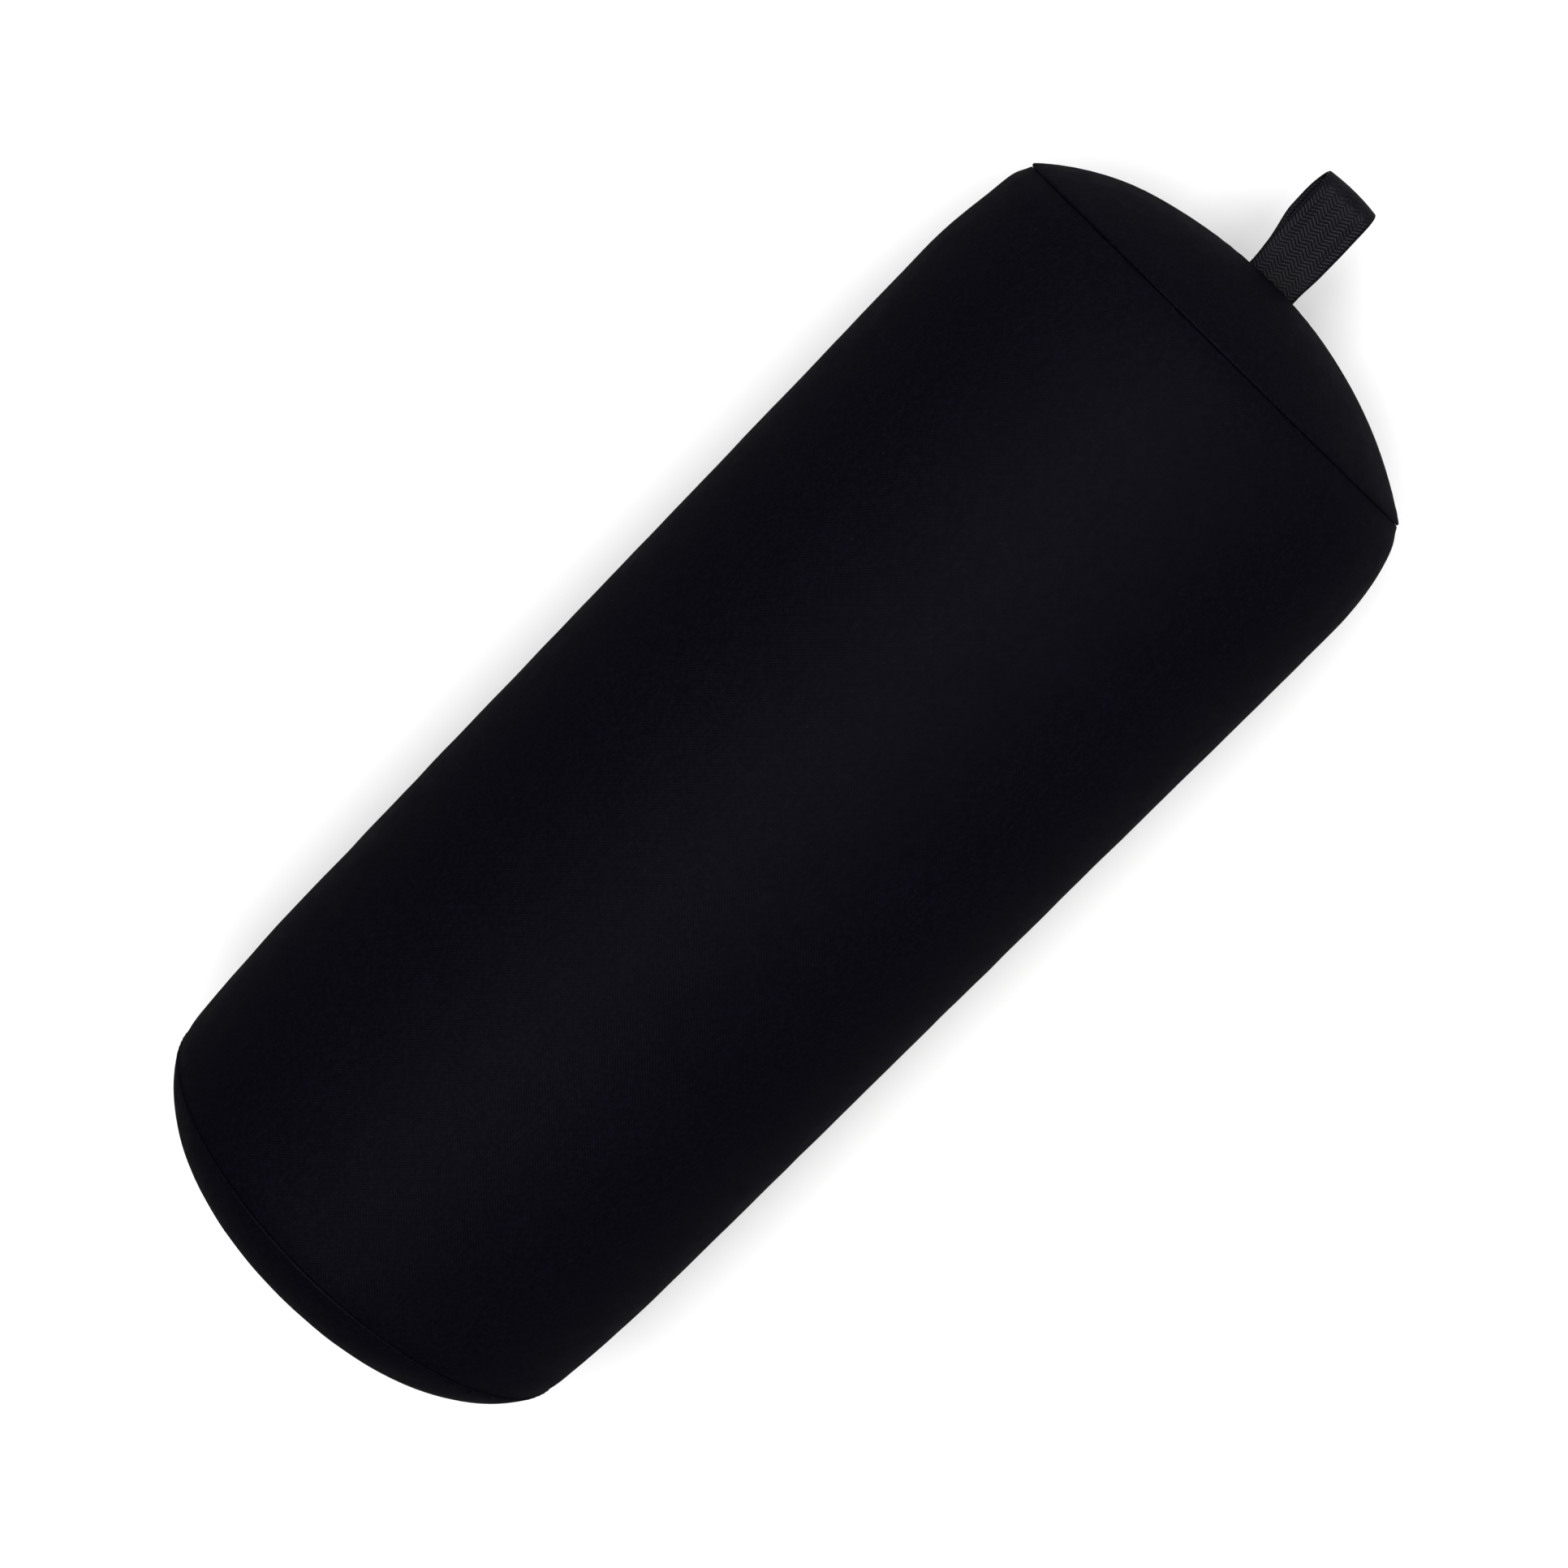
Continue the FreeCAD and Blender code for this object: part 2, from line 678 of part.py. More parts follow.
def make_slider():
    """Two wings joined by a post that runs between the coils, with a bridge for the tab."""
    nose = "(dims.slider_length / 2)"
    nose_half = "(dims.slider_nose_width / 2)"
    tail_half = "(dims.slider_tail_width / 2)"
    shoulder = f"({nose} - dims.slider_nose_length)"
    plan = [
        (negative(nose), negative(tail_half)),
        (shoulder, negative(nose_half)),
        (nose, "0"),
        (shoulder, nose_half),
        (negative(nose), tail_half),
    ]
    arcs = {1: ("dims.slider_nose_arc", 1), 2: ("dims.slider_nose_arc", 1)}
    bottom = f"({WING_BACK} - dims.wing_thickness)"
    to_bottom = FreeCAD.Placement(Z_AXIS * value(bottom), FreeCAD.Rotation())
    block = padded(
        "slider_block",
        "XY_Plane",
        [(plan, arcs)],
        f"{SLIDER_TOP} - {bottom}",
        SLIDER_FRAME.multiply(to_bottom),
        symmetric=False,
    )
    tunnel_half = "(dims.chain_channel / 2 + dims.coil_width + dims.coil_play)"
    tunnel = box(
        "coil_tunnel",
        (negative("dims.slider_length"), negative(tunnel_half), WING_BACK),
        ("dims.slider_length", tunnel_half, WING_FRONT),
        SLIDER_FRAME,
    )
    tape_way = box(
        "tape_way",
        (negative("dims.slider_length"), negative("dims.slider_length"), WING_BACK),
        ("dims.slider_length", "dims.slider_length", f"({TAPE_FRONT} + dims.slider_play)"),
        SLIDER_FRAME,
    )
    post_half = "(dims.post_width / 2)"
    post_front = f"({nose} - dims.post_setback)"
    post = box(
        "slider_post",
        (f"{post_front} - dims.post_length", negative(post_half), f"{WING_BACK} - {BITE}"),
        (post_front, post_half, f"{WING_FRONT} + {BITE}"),
        SLIDER_FRAME,
    )
    half_bridge = "(dims.bridge_length / 2)"
    half_width = "(dims.bridge_width / 2)"
    bridge_top = f"({SLIDER_TOP} + dims.bridge_height)"
    arch = box(
        "bridge_block",
        (negative(half_bridge), negative(half_width), f"{SLIDER_TOP} - {BITE}"),
        (half_bridge, half_width, bridge_top),
        SLIDER_FRAME,
    )
    window = box(
        "bridge_window",
        (f"-1 * {half_bridge} + dims.bridge_leg", f"-1 * {PAST}", SLIDER_TOP),
        (f"{half_bridge} - dims.bridge_leg", PAST, f"{bridge_top} - dims.bridge_bar"),
        SLIDER_FRAME,
    )
    bridge = cut("bridge", arch, window)
    return fuse("zip_slider", cut("slider_wings", block, tunnel, tape_way), post, bridge)


def make_tab():
    """The pull tab. Its eye goes round the bridge, and its pin passes under the bridge."""
    half = "(dims.tab_width / 2)"
    eye_half = "(dims.tab_eye_width / 2)"
    corner = "(dims.tab_length - dims.tab_width / 2)"
    outer = [
        ("0", negative(half)),
        ("0", half),
        (negative(corner), half),
        (negative("dims.tab_length"), "0"),
        (negative(corner), negative(half)),
    ]
    outer_arcs = {2: (half, 1), 3: (half, 1)}
    at_pin = FreeCAD.Placement(Z_AXIS * value(PIN_HEIGHT), FreeCAD.Rotation())
    frame = SLIDER_FRAME.multiply(at_pin)
    plate = padded("tab_plate", "XY_Plane", [(outer, outer_arcs)], "dims.tab_thickness", frame)
    hole = box(
        "tab_eye",
        ("-1 * dims.tab_eye_length", negative(eye_half), f"-1 * {PAST}"),
        (PAST, eye_half, PAST),
        frame,
    )
    across = FreeCAD.Placement(
        FreeCAD.Vector(0, -value(half), 0), FreeCAD.Rotation(X_AXIS, -90)
    )
    pin = rod("tab_pin", "dims.tab_pin_radius", "dims.tab_width", frame.multiply(across))
    return fuse("zip_pull_tab", cut("tab_ring", plate, hole), pin)


sub_parts = [
    make_core(),
    make_wrap(),
    make_loop_end_pad(),
    foam_dome("end_pad_plain_end", "plain", ON_AXIS_TURNED),
    make_side_panel(),
    *make_loop_end_panel(),
    fabric_dome("end_panel_plain_end", "plain", placement=ON_AXIS_TURNED),
    seam_thread("seam_thread_loop_end", "loop", ON_AXIS),
    seam_thread("seam_thread_plain_end", "plain", ON_AXIS_TURNED),
    make_centre_seam_thread(),
    make_loop(),
    make_loop_tails(),
    make_bar_tacks(),
    *make_tapes(),
    *make_coils(),
    *make_stops(),
    make_topstitch(),
    make_slider(),
    make_tab(),
]
doc.recompute()

failed = [item.Name for item in doc.Objects if {"Invalid", "Error"} & set(item.State)]
if failed:
    raise RuntimeError(f"objects that failed to compute: {failed}")
for piece in sub_parts:
    piece.Label = piece.Name
    if piece.Shape.isNull() or not piece.Shape.isValid():
        raise RuntimeError(f"{piece.Label} has no valid shape")

os.makedirs("parts", exist_ok=True)
for piece in sub_parts:
    piece.Shape.exportStep(f"parts/{piece.Label}.step")
    solids = len(piece.Shape.Solids)
    print(f"{piece.Label}: {solids} solid(s), {piece.Shape.Volume:.1f} mm3")
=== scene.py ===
"""Looks for the covered foam roller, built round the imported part. Lengths are in metres.

The roller lies along X with its loop at +X, and its axis is parallel to the floor, which is z = 0.
Round the axis, an angle of 0 is straight up and a quarter turn is +Y, which is the zip's side.
"""

import math

import bpy
import numpy as np
from mathutils import Matrix, Vector, noise
from mathutils.bvhtree import BVHTree


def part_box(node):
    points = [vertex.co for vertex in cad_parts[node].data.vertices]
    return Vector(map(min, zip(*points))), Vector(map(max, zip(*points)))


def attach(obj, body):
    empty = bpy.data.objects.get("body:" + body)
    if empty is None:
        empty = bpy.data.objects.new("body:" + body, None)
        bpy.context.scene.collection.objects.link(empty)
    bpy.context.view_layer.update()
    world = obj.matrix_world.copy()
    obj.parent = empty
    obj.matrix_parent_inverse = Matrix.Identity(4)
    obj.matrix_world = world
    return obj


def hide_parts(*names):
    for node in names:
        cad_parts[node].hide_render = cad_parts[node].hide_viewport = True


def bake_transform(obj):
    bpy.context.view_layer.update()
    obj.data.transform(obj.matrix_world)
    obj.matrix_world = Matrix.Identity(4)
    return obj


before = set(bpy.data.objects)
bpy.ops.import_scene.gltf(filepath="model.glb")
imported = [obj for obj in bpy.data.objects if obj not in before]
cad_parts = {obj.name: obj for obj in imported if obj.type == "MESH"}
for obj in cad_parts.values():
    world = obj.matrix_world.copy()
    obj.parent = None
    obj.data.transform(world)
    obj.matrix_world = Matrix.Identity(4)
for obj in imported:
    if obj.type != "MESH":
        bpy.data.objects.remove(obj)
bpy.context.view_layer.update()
scene = bpy.context.scene

MM = 0.001
FULL_TURN = 2 * math.pi
QUARTER_TURN = math.pi / 2

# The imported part's own sizes
RADIUS = 65 * MM
HALF_SPAN = 146 * MM
FLOOR_FLAT = 0.4 * MM
AXIS_Z = RADIUS - FLOOR_FLAT
CLOTH = 1.2 * MM
SEAM_ALLOWANCE = 8 * MM
ZIP_ANGLE = math.radians(115)
SLOT_HALF_LENGTH = 120 * MM
SLOT_HALF_WIDTH = 5.6 * MM
TAPE_FRONT = RADIUS - 1.3 * MM
CHAIN_HALF_LENGTH = 114.6 * MM

# The cloth's own sizes here
CLOTH_AT_SEAM = 0.45 * MM
SEAM_CURL = 0.5 * MM
SEAM_GAP = 0.015 * MM
SEAM_DIP = 0.15 * MM  # how far a dome's cloth dips towards its seam
DIP_REACH = 2.7 * MM
STITCH_LINE = 2.8 * MM  # from the slot's edge to the middle of the stitching


# Meshes


def add(name, data):
    """A new object in the scene."""
    obj = bpy.data.objects.new(name, data)
    scene.collection.objects.link(obj)
    return obj


def new_mesh(name, points, faces):
    mesh = bpy.data.meshes.new(name)
    mesh.from_pydata(points, [], faces)
    return mesh


def make_object(name, points, faces, uvs, material):
    """A smooth mesh object from arrays. uvs holds one pair of metres for each corner of each face."""
    mesh = new_mesh(name, points.tolist(), faces.tolist())
    layer = mesh.uv_layers.new(name="weave")
    layer.data.foreach_set("uv", np.asarray(uvs, np.float32).ravel())
    mesh.polygons.foreach_set("use_smooth", np.ones(len(faces), bool))
    mesh.materials.append(material)
    mesh.update()
    return add(name, mesh)


def grid(rows, columns, closed=False):
    """Faces of a grid of points stored row by row, and each corner's row and column. A closed grid's
    last column of faces ends at the first column of points."""
    last = columns if closed else columns - 1
    row, column = np.meshgrid(np.arange(rows - 1), np.arange(last), indexing="ij")
    row, column = row.ravel(), column.ravel()
    corner_rows = np.stack([row, row, row + 1, row + 1], axis=1)
    corner_columns = np.stack([column, column + 1, column + 1, column], axis=1)
    faces = corner_rows * columns + corner_columns % columns
    return faces, corner_rows, corner_columns


def unit(vectors):
    lengths = np.linalg.norm(vectors, axis=-1, keepdims=True)
    return vectors / np.maximum(lengths, 1e-12)


def vertex_normals(points, faces):
    across = np.cross(
        points[faces[:, 2]] - points[faces[:, 0]], points[faces[:, 3]] - points[faces[:, 1]]
    )
    normals = np.zeros_like(points)
    for corner in range(faces.shape[1]):
        np.add.at(normals, faces[:, corner], across)
    return unit(normals)


def thicken(points, faces, uvs, thickness, rim_steps=3):
    """A closed cloth with round edges from an open sheet, thickened on its inner side."""
    count = len(points)
    thickness = np.broadcast_to(thickness, count)[:, None]
    normals = vertex_normals(points, faces)
    inner = points - normals * thickness
    edges = np.stack([faces, np.roll(faces, -1, axis=1)], axis=2).reshape(-1, 2)
    edge_uvs = np.stack([uvs, np.roll(uvs, -1, axis=1)], axis=2).reshape(-1, 2, 2)
    keys = edges.min(axis=1) * count + edges.max(axis=1)
    _, first, uses = np.unique(keys, return_index=True, return_counts=True)
    rim, rim_uvs = edges[first[uses == 1]], edge_uvs[first[uses == 1]]
    outward = np.zeros_like(points)
    sideways = np.cross(unit(points[rim[:, 1]] - points[rim[:, 0]]), normals[rim[:, 0]])
    for end in range(2):
        np.add.at(outward, rim[:, end], sideways)
    outward = unit(outward)
    members = np.unique(rim)
    place = np.zeros(count, int)
    place[members] = np.arange(len(members))
    middle = points - normals * thickness / 2
    levels, rings = [rim], []
    for step in range(1, rim_steps + 1):
        angle = math.pi * step / (rim_steps + 1)
        bulge = normals * math.cos(angle) + outward * math.sin(angle)
        rings.append((middle + bulge * thickness / 2)[members])
        levels.append(place[rim] + 2 * count + (step - 1) * len(members))
    levels.append(rim + count)
    all_faces, all_uvs = [faces, faces[:, ::-1] + count], [uvs, uvs[:, ::-1]]
    for upper, lower in zip(levels, levels[1:]):
        all_faces.append(np.stack([upper[:, 1], upper[:, 0], lower[:, 0], lower[:, 1]], axis=1))
        all_uvs.append(rim_uvs[:, [1, 0, 0, 1]])
    all_points = np.concatenate([points, inner, *rings])
    return all_points, np.concatenate(all_faces), np.concatenate(all_uvs)


def lengths_along(path):
    """Distance along a path at each of its points."""
    return np.concatenate([[0], np.cumsum(np.linalg.norm(np.diff(path, axis=0), axis=1))])


ANY_DIRECTION = (0.13, 0.41, 0.9)  # along no thread, so that a tube's first ring can start from it


def tube(path, radius, sides=8, closed=False):
    """Points, faces and UVs of a round thread along a path of points. sides is even."""
    if closed:
        tangents = unit(np.roll(path, -1, axis=0) - np.roll(path, 1, axis=0))
    else:
        tangents = unit(np.gradient(path, axis=0))
    normal, normals = np.cross(tangents[0], ANY_DIRECTION), []
    for tangent in tangents:
        normal = unit(normal - tangent * (normal @ tangent))
        normals.append(normal)
    normals = np.array(normals)
    others = np.cross(tangents, normals)
    radius = np.broadcast_to(radius, len(path))[:, None]
    lines = []
    for side in range(sides):
        angle = FULL_TURN * side / sides
        lines.append(path + (normals * math.cos(angle) + others * math.sin(angle)) * radius)
    points = np.stack(lines, axis=1).reshape(-1, 3)
    along = lengths_along(path)
    if closed:
        along = np.append(along, along[-1] + np.linalg.norm(path[0] - path[-1]))
    faces, row, column = grid(len(along), sides, closed=True)
    uvs = np.stack([along[row], column * (FULL_TURN * radius.mean() / sides)], axis=2)
    if closed:
        return points, faces % len(points), uvs
    caps, cap_uvs = [], []
    for ring, order in ((0, -1), (len(path) - 1, 1)):
        ids = (np.arange(sides) + ring * sides)[::order]
        for first in range(1, sides - 2, 2):
            caps.append(ids[[0, first, first + 1, first + 2]])
            cap_uvs.append([[along[ring], 0]] * 4)
    return points, np.concatenate([faces, caps]), np.concatenate([uvs, cap_uvs])


def joined(parts):
    """One set of points, faces and UVs from several."""
    points, faces, uvs, start = [], [], [], 0
    for part_points, part_faces, part_uvs in parts:
        points.append(part_points)
        faces.append(part_faces + start)
        uvs.append(part_uvs)
        start += len(part_points)
    return np.concatenate(points), np.concatenate(faces), np.concatenate(uvs)


def smoothstep(low, high, value):
    share = np.clip((np.asarray(value, float) - low) / (high - low), 0, 1)
    return share * share * (3 - 2 * share)


def bell(distance, reach):
    """1 at no distance, fading out over about twice the reach."""
    return np.exp(-((distance / reach) ** 2))


def in_steps(*runs):
    """Numbers over runs of (start, end, count) that follow each other, without the very last."""
    return np.concatenate([np.linspace(*run)[:-1] for run in runs])


def perlin(points, size, seed=0.0):
    """Smooth noise from about -1 to 1 at points, with features of a size."""
    shift = Vector((seed * 17.3, seed * 5.1, seed * 9.7))
    return np.array([noise.noise(Vector(point) / size + shift) for point in points])


def round_axis(along, radius, angle):
    """Points round the roller's axis."""
    along, radius, angle = np.broadcast_arrays(along, radius, angle)
    return np.stack([along, radius * np.sin(angle), AXIS_Z + radius * np.cos(angle)], axis=-1)


def from_axis(distance, angle):
    """Vectors straight out from the roller's axis."""
    return round_axis(0, distance, angle) - (0, 0, AXIS_Z)


# The roller's profile, each end as if it pointed along +X


class Profile:
    """One end's dome and shoulder, and how the cloth curls in at the seam between them."""

    def __init__(self, sign, shoulder_run, dome_height, cap_radius, rim_radius, rim_centre):
        self.sign = sign
        self.cap_radius, self.rim_radius, self.rim_centre = cap_radius, rim_radius, rim_centre
        self.tip = HALF_SPAN + dome_height
        self.cap_middle = self.tip - cap_radius
        gap = cap_radius - rim_radius
        self.rim_middle = self.cap_middle + math.sqrt(gap**2 - rim_centre**2)
        self.join = math.asin(rim_centre / gap)
        self.curl_from = math.acos(
            (HALF_SPAN + SEAM_GAP + SEAM_CURL - self.rim_middle) / (rim_radius - SEAM_CURL)
        )
        seam_angle = math.acos((HALF_SPAN - self.rim_middle) / rim_radius)
        self.seam_radius = rim_centre + rim_radius * math.sin(seam_angle)
        self.cap_length = cap_radius * self.join
        self.dome_length = self.cap_length + rim_radius * (self.curl_from - self.join)
        drop = RADIUS - self.seam_radius
        self.shoulder_radius = (shoulder_run**2 + drop**2) / (2 * drop)
        self.straight_end = HALF_SPAN - shoulder_run
        self.side_dip = SEAM_DIP + self.side_curl(1, 0)[-1, 1] - self.dome_curl(1, 0)[-1, 1]

    def dome(self, length):
        """Distance along the axis, radius and slope's angle, at lengths of cloth from the apex."""
        length = np.asarray(length, float)
        on_cap = length < self.cap_length
        on_rim = self.join + (length - self.cap_length) / self.rim_radius
        angle = np.where(on_cap, length / self.cap_radius, on_rim)
        middle = np.where(on_cap, self.cap_middle, self.rim_middle)
        radius = np.where(on_cap, self.cap_radius, self.rim_radius)
        centre = np.where(on_cap, 0, self.rim_centre)
        return middle + radius * np.cos(angle), centre + radius * np.sin(angle), angle

    def dome_curl(self, steps, allowance_steps):
        """(along, radius) pairs past the dome's rim: the curl into the seam and the turned-in cloth."""
        angles = np.linspace(self.curl_from, math.pi, steps + 1)[1:]
        middle = HALF_SPAN + SEAM_GAP + SEAM_CURL
        centre = self.rim_centre + (self.rim_radius - SEAM_CURL) * math.sin(self.curl_from)
        along, radius = middle + SEAM_CURL * np.cos(angles), centre + SEAM_CURL * np.sin(angles)
        return self._turned_in(along, radius, allowance_steps)

    def side_radius(self, along):
        """Radius of the side at distances towards this end."""
        past = np.maximum(along - self.straight_end, 0)
        return RADIUS - self.shoulder_radius + np.sqrt(self.shoulder_radius**2 - past**2)

    def side_curl(self, steps, allowance_steps):
        """(along, radius) pairs from where the side curls into the seam to the cloth's cut edge."""
        middle = HALF_SPAN - SEAM_GAP - SEAM_CURL
        inner = self.shoulder_radius - SEAM_CURL
        start = math.asin((middle - self.straight_end) / inner)
        angles = np.linspace(start, QUARTER_TURN, steps + 1)
        centre = RADIUS - self.shoulder_radius + inner * math.cos(start)
        along, radius = middle + SEAM_CURL * np.sin(angles), centre + SEAM_CURL * np.cos(angles)
        return self._turned_in(along, radius, allowance_steps)

    def _turned_in(self, along, radius, steps):
        """The points of a curl, and then steps straight in to the cloth's cut edge."""
        curl = np.stack([along, radius], axis=1)
        end = np.array([curl[-1, 0], self.seam_radius - SEAM_ALLOWANCE])
        share = np.linspace(0, 1, steps + 1)[1:, None]
        return np.concatenate([curl, curl[-1] + (end - curl[-1]) * share])


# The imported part's own sizes
PROFILES = {
    "loop": Profile(
        1,
        shoulder_run=30 * MM,
        dome_height=19.3 * MM,
        cap_radius=125 * MM,
        rim_radius=70 * MM,
        rim_centre=13.9 * MM,
    ),
    "plain": Profile(
        -1,
        shoulder_run=44 * MM,
        dome_height=20 * MM,
        cap_radius=290 * MM,
        rim_radius=33 * MM,
        rim_centre=34 * MM,
    ),
}


def side_radius(along):
    """Radius of the side at x."""
    loop, plain = PROFILES["loop"].side_radius(along), PROFILES["plain"].side_radius(-along)
    return np.where(along > 0, loop, plain)


# The loop end leans a little to one side, as the sewn cover does, and its other side has slumped.
LEAN_FROM, LEAN_TO = HALF_SPAN - 14 * MM, HALF_SPAN + 3 * MM
SEAM_LEAN = 1.2 * MM  # how far the end's seam stands to +Y
TIP_LEAN = 0.7 * MM  # how much further its tip stands
TIP_REACH = 20 * MM  # how far past the seam the tip's lean is reached
SLUMP = 3.1 * MM  # how far the dome's -Y side is pushed in
SLUMP_REACH = 40 * MM


def leaned(points):
    """The same points, with those of the loop end moved by its lean."""
    out = np.clip((points[:, 0] - HALF_SPAN) / TIP_REACH, 0, 1)
    slump = SLUMP * smoothstep(0, SLUMP_REACH, -points[:, 1])
    points[:, 1] += SEAM_LEAN * smoothstep(LEAN_FROM, LEAN_TO, points[:, 0])
    points[:, 1] += (TIP_LEAN + slump) * np.sin(out * math.pi / 2)
    return points


# Cloth simulation. The cover is blown up over its foam with its seams held, so it puckers at the seams.

SIMULATION_FRAMES = 20
SIMULATION_INSET = 0.6 * MM
SIMULATION_COLUMNS = 132
SIDE_SHARES = 1 - (1 - np.linspace(0, 1, 34)) ** 1.35  # rows of the side, closest at the middle
DOME_SHARES = np.linspace(0.06, 1, 20) ** 0.8  # rows of a dome, closest at its seam
SEED_HEIGHT = 0.25 * MM  # small unevenness that starts the puckers
SEED_SIZE = 9 * MM
HELD_REACH = 1.2 * MM
GATHER = 0.08  # how much wider the cloth is cut than the seam that it is gathered into
GATHER_REACH = 26 * MM
CLOTH_SETTINGS = {
    "quality": 6,
    "mass": 0.2,
    "tension_stiffness": 18,
    "compression_stiffness": 18,
    "shear_stiffness": 6,
    "bending_stiffness": 0.15,
    "air_damping": 3,
    "use_pressure": True,
    "uniform_pressure_force": 4,
    "vertex_group_mass": "held",
}
RELIEF_CAP = 0.6 * MM
RELIEF_ANGLES = 264
RELIEF_ROWS = 180
RELIEF_DOME_ROWS = 40
RELIEF_DEPTH = 12 * MM  # how far inside and outside a dome its cloth is looked for
APEX_SHARE = 0.15  # part of a dome, at its apex, where the relief fades out
BROADEST_PUCKER = FULL_TURN / 10


def simulation_shape():
    """Points and faces of the closed cover, a little inside its final shape."""
    along, radius, tips = [], [], []
    side = HALF_SPAN - HALF_SPAN * SIDE_SHARES
    for profile in (PROFILES["plain"], PROFILES["loop"]):
        dome_along, dome_radius, _ = profile.dome(profile.dome_length * DOME_SHARES)
        half_along = profile.sign * np.concatenate([dome_along, side])
        half_radius = np.concatenate([dome_radius, profile.side_radius(side)])
        if profile.sign > 0:
            half_along, half_radius = half_along[-2::-1], half_radius[-2::-1]
        along.extend(half_along)
        radius.extend(half_radius)
        tips.append([profile.sign * (profile.dome(0)[0] - SIMULATION_INSET), 0, AXIS_Z])
    along, radius = np.array(along), np.array(radius) - SIMULATION_INSET
    angles = np.linspace(0, FULL_TURN, SIMULATION_COLUMNS, endpoint=False)
    points = round_axis(along[:, None], radius[:, None], angles[None, :]).reshape(-1, 3)
    outward = unit(points * (0, 1, 1) - (0, 0, AXIS_Z))
    points = points + outward * (perlin(points, SEED_SIZE) * SEED_HEIGHT)[:, None]
    faces = grid(len(along), SIMULATION_COLUMNS, closed=True)[0][:, ::-1].tolist()
    last = (len(along) - 1) * SIMULATION_COLUMNS
    for column in range(SIMULATION_COLUMNS):
        following = (column + 1) % SIMULATION_COLUMNS
        faces.append([column, following, len(points)])
        faces.append([last + following, last + column, len(points) + 1])
    return np.concatenate([points, tips]), faces


def simulate_cover():
    """A tree of the simulated cover's faces."""
    points, faces = simulation_shape()
    obj = add("cover_simulation", new_mesh("cover_simulation", points.tolist(), faces))
    held = obj.vertex_groups.new(name="held")
    obj.shape_key_add(name="sewn")
    cut = obj.shape_key_add(name="cut")
    for vertex in obj.data.vertices:
        beside = abs(abs(vertex.co.x) - HALF_SPAN)
        if beside < HELD_REACH:
            held.add([vertex.index], 1, "REPLACE")
        wider = 1 + GATHER * (1 - float(smoothstep(0, GATHER_REACH, beside)))
        height = (vertex.co.z - AXIS_Z) * wider + AXIS_Z
        cut.data[vertex.index].co = (vertex.co.x, vertex.co.y * wider, height)
    settings = obj.modifiers.new("cloth", "CLOTH").settings
    settings.rest_shape_key = cut
    for setting, amount in CLOTH_SETTINGS.items():
        setattr(settings, setting, amount)
    settings.effector_weights.gravity = 0
    for number in range(1, SIMULATION_FRAMES + 1):
        scene.frame_set(number)
    result = obj.evaluated_get(bpy.context.evaluated_depsgraph_get()).to_mesh()
    corners = [vertex.co.copy() for vertex in result.vertices]
    tree = BVHTree.FromPolygons(corners, [list(face.vertices) for face in result.polygons])
    bpy.data.objects.remove(obj)
    scene.frame_set(1)
    return tree


def relief_of(tree, starts, directions, reach):
    """The simulated cover's puckers, for a row of rays at each ring. Broad swellings are taken out."""
    found = np.zeros(starts.shape[:2])
    if tree is None:
        return found
    for index in np.ndindex(found.shape):
        _, _, _, distance = tree.ray_cast(Vector(starts[index]), Vector(directions[index]), reach)
        found[index] = np.nan if distance is None else distance
    found = np.where(np.isnan(found), reach / 2, found)
    waves = np.fft.rfft(found, axis=1)
    waves[:, : math.ceil(FULL_TURN / BROADEST_PUCKER)] = 0
    puckers = np.fft.irfft(waves, n=found.shape[1], axis=1)
    return RELIEF_CAP * np.tanh(puckers / RELIEF_CAP)


def between(table, row, angle):
    """A table's value between its rows and its columns, which go once round the roller."""
    column = (angle % FULL_TURN) / FULL_TURN * RELIEF_ANGLES
    row = np.clip(row, 0, len(table) - 1.001)
    row_low, column_low = np.floor(row).astype(int), np.floor(column).astype(int)
    row_share, column_share = row - row_low, column - column_low
    total = 0
    for row_step, row_weight in ((0, 1 - row_share), (1, row_share)):
        for column_step, weight in ((0, 1 - column_share), (1, column_share)):
            value = table[row_low + row_step, (column_low + column_step) % RELIEF_ANGLES]
            total = total + value * row_weight * weight
    return total


class Relief:
    """The simulated relief of the side and of both domes, read at any point."""

    def __init__(self, tree):
        angles = np.linspace(0, FULL_TURN, RELIEF_ANGLES, endpoint=False)
        around = np.stack([np.zeros(RELIEF_ANGLES), np.sin(angles), np.cos(angles)], axis=1)
        rows = np.linspace(-HALF_SPAN, HALF_SPAN, RELIEF_ROWS)
        starts = round_axis(rows[:, None], 0, angles[None, :])
        self.side = relief_of(tree, starts, np.broadcast_to(around, starts.shape), 2 * RADIUS)
        self.domes = {}
        shares = np.linspace(0, 1, RELIEF_DOME_ROWS)
        for name, profile in PROFILES.items():
            along, radius, slope = profile.dome(shares * profile.dome_length)
            outward = around[None] * np.sin(slope)[:, None, None]
            outward[..., 0] = (profile.sign * np.cos(slope))[:, None]
            surface = round_axis(profile.sign * along[:, None], radius[:, None], angles[None, :])
            found = relief_of(tree, surface - outward * RELIEF_DEPTH, outward, 2 * RELIEF_DEPTH)
            self.domes[name] = found * smoothstep(0, APEX_SHARE, shares)[:, None]

    def on_side(self, along, angle):
        row = (along + HALF_SPAN) / (2 * HALF_SPAN) * (RELIEF_ROWS - 1)
        return between(self.side, row, angle)

    def on_dome(self, name, share, angle):
        return between(self.domes[name], share * (RELIEF_DOME_ROWS - 1), angle)


relief = Relief(simulate_cover())


# Materials


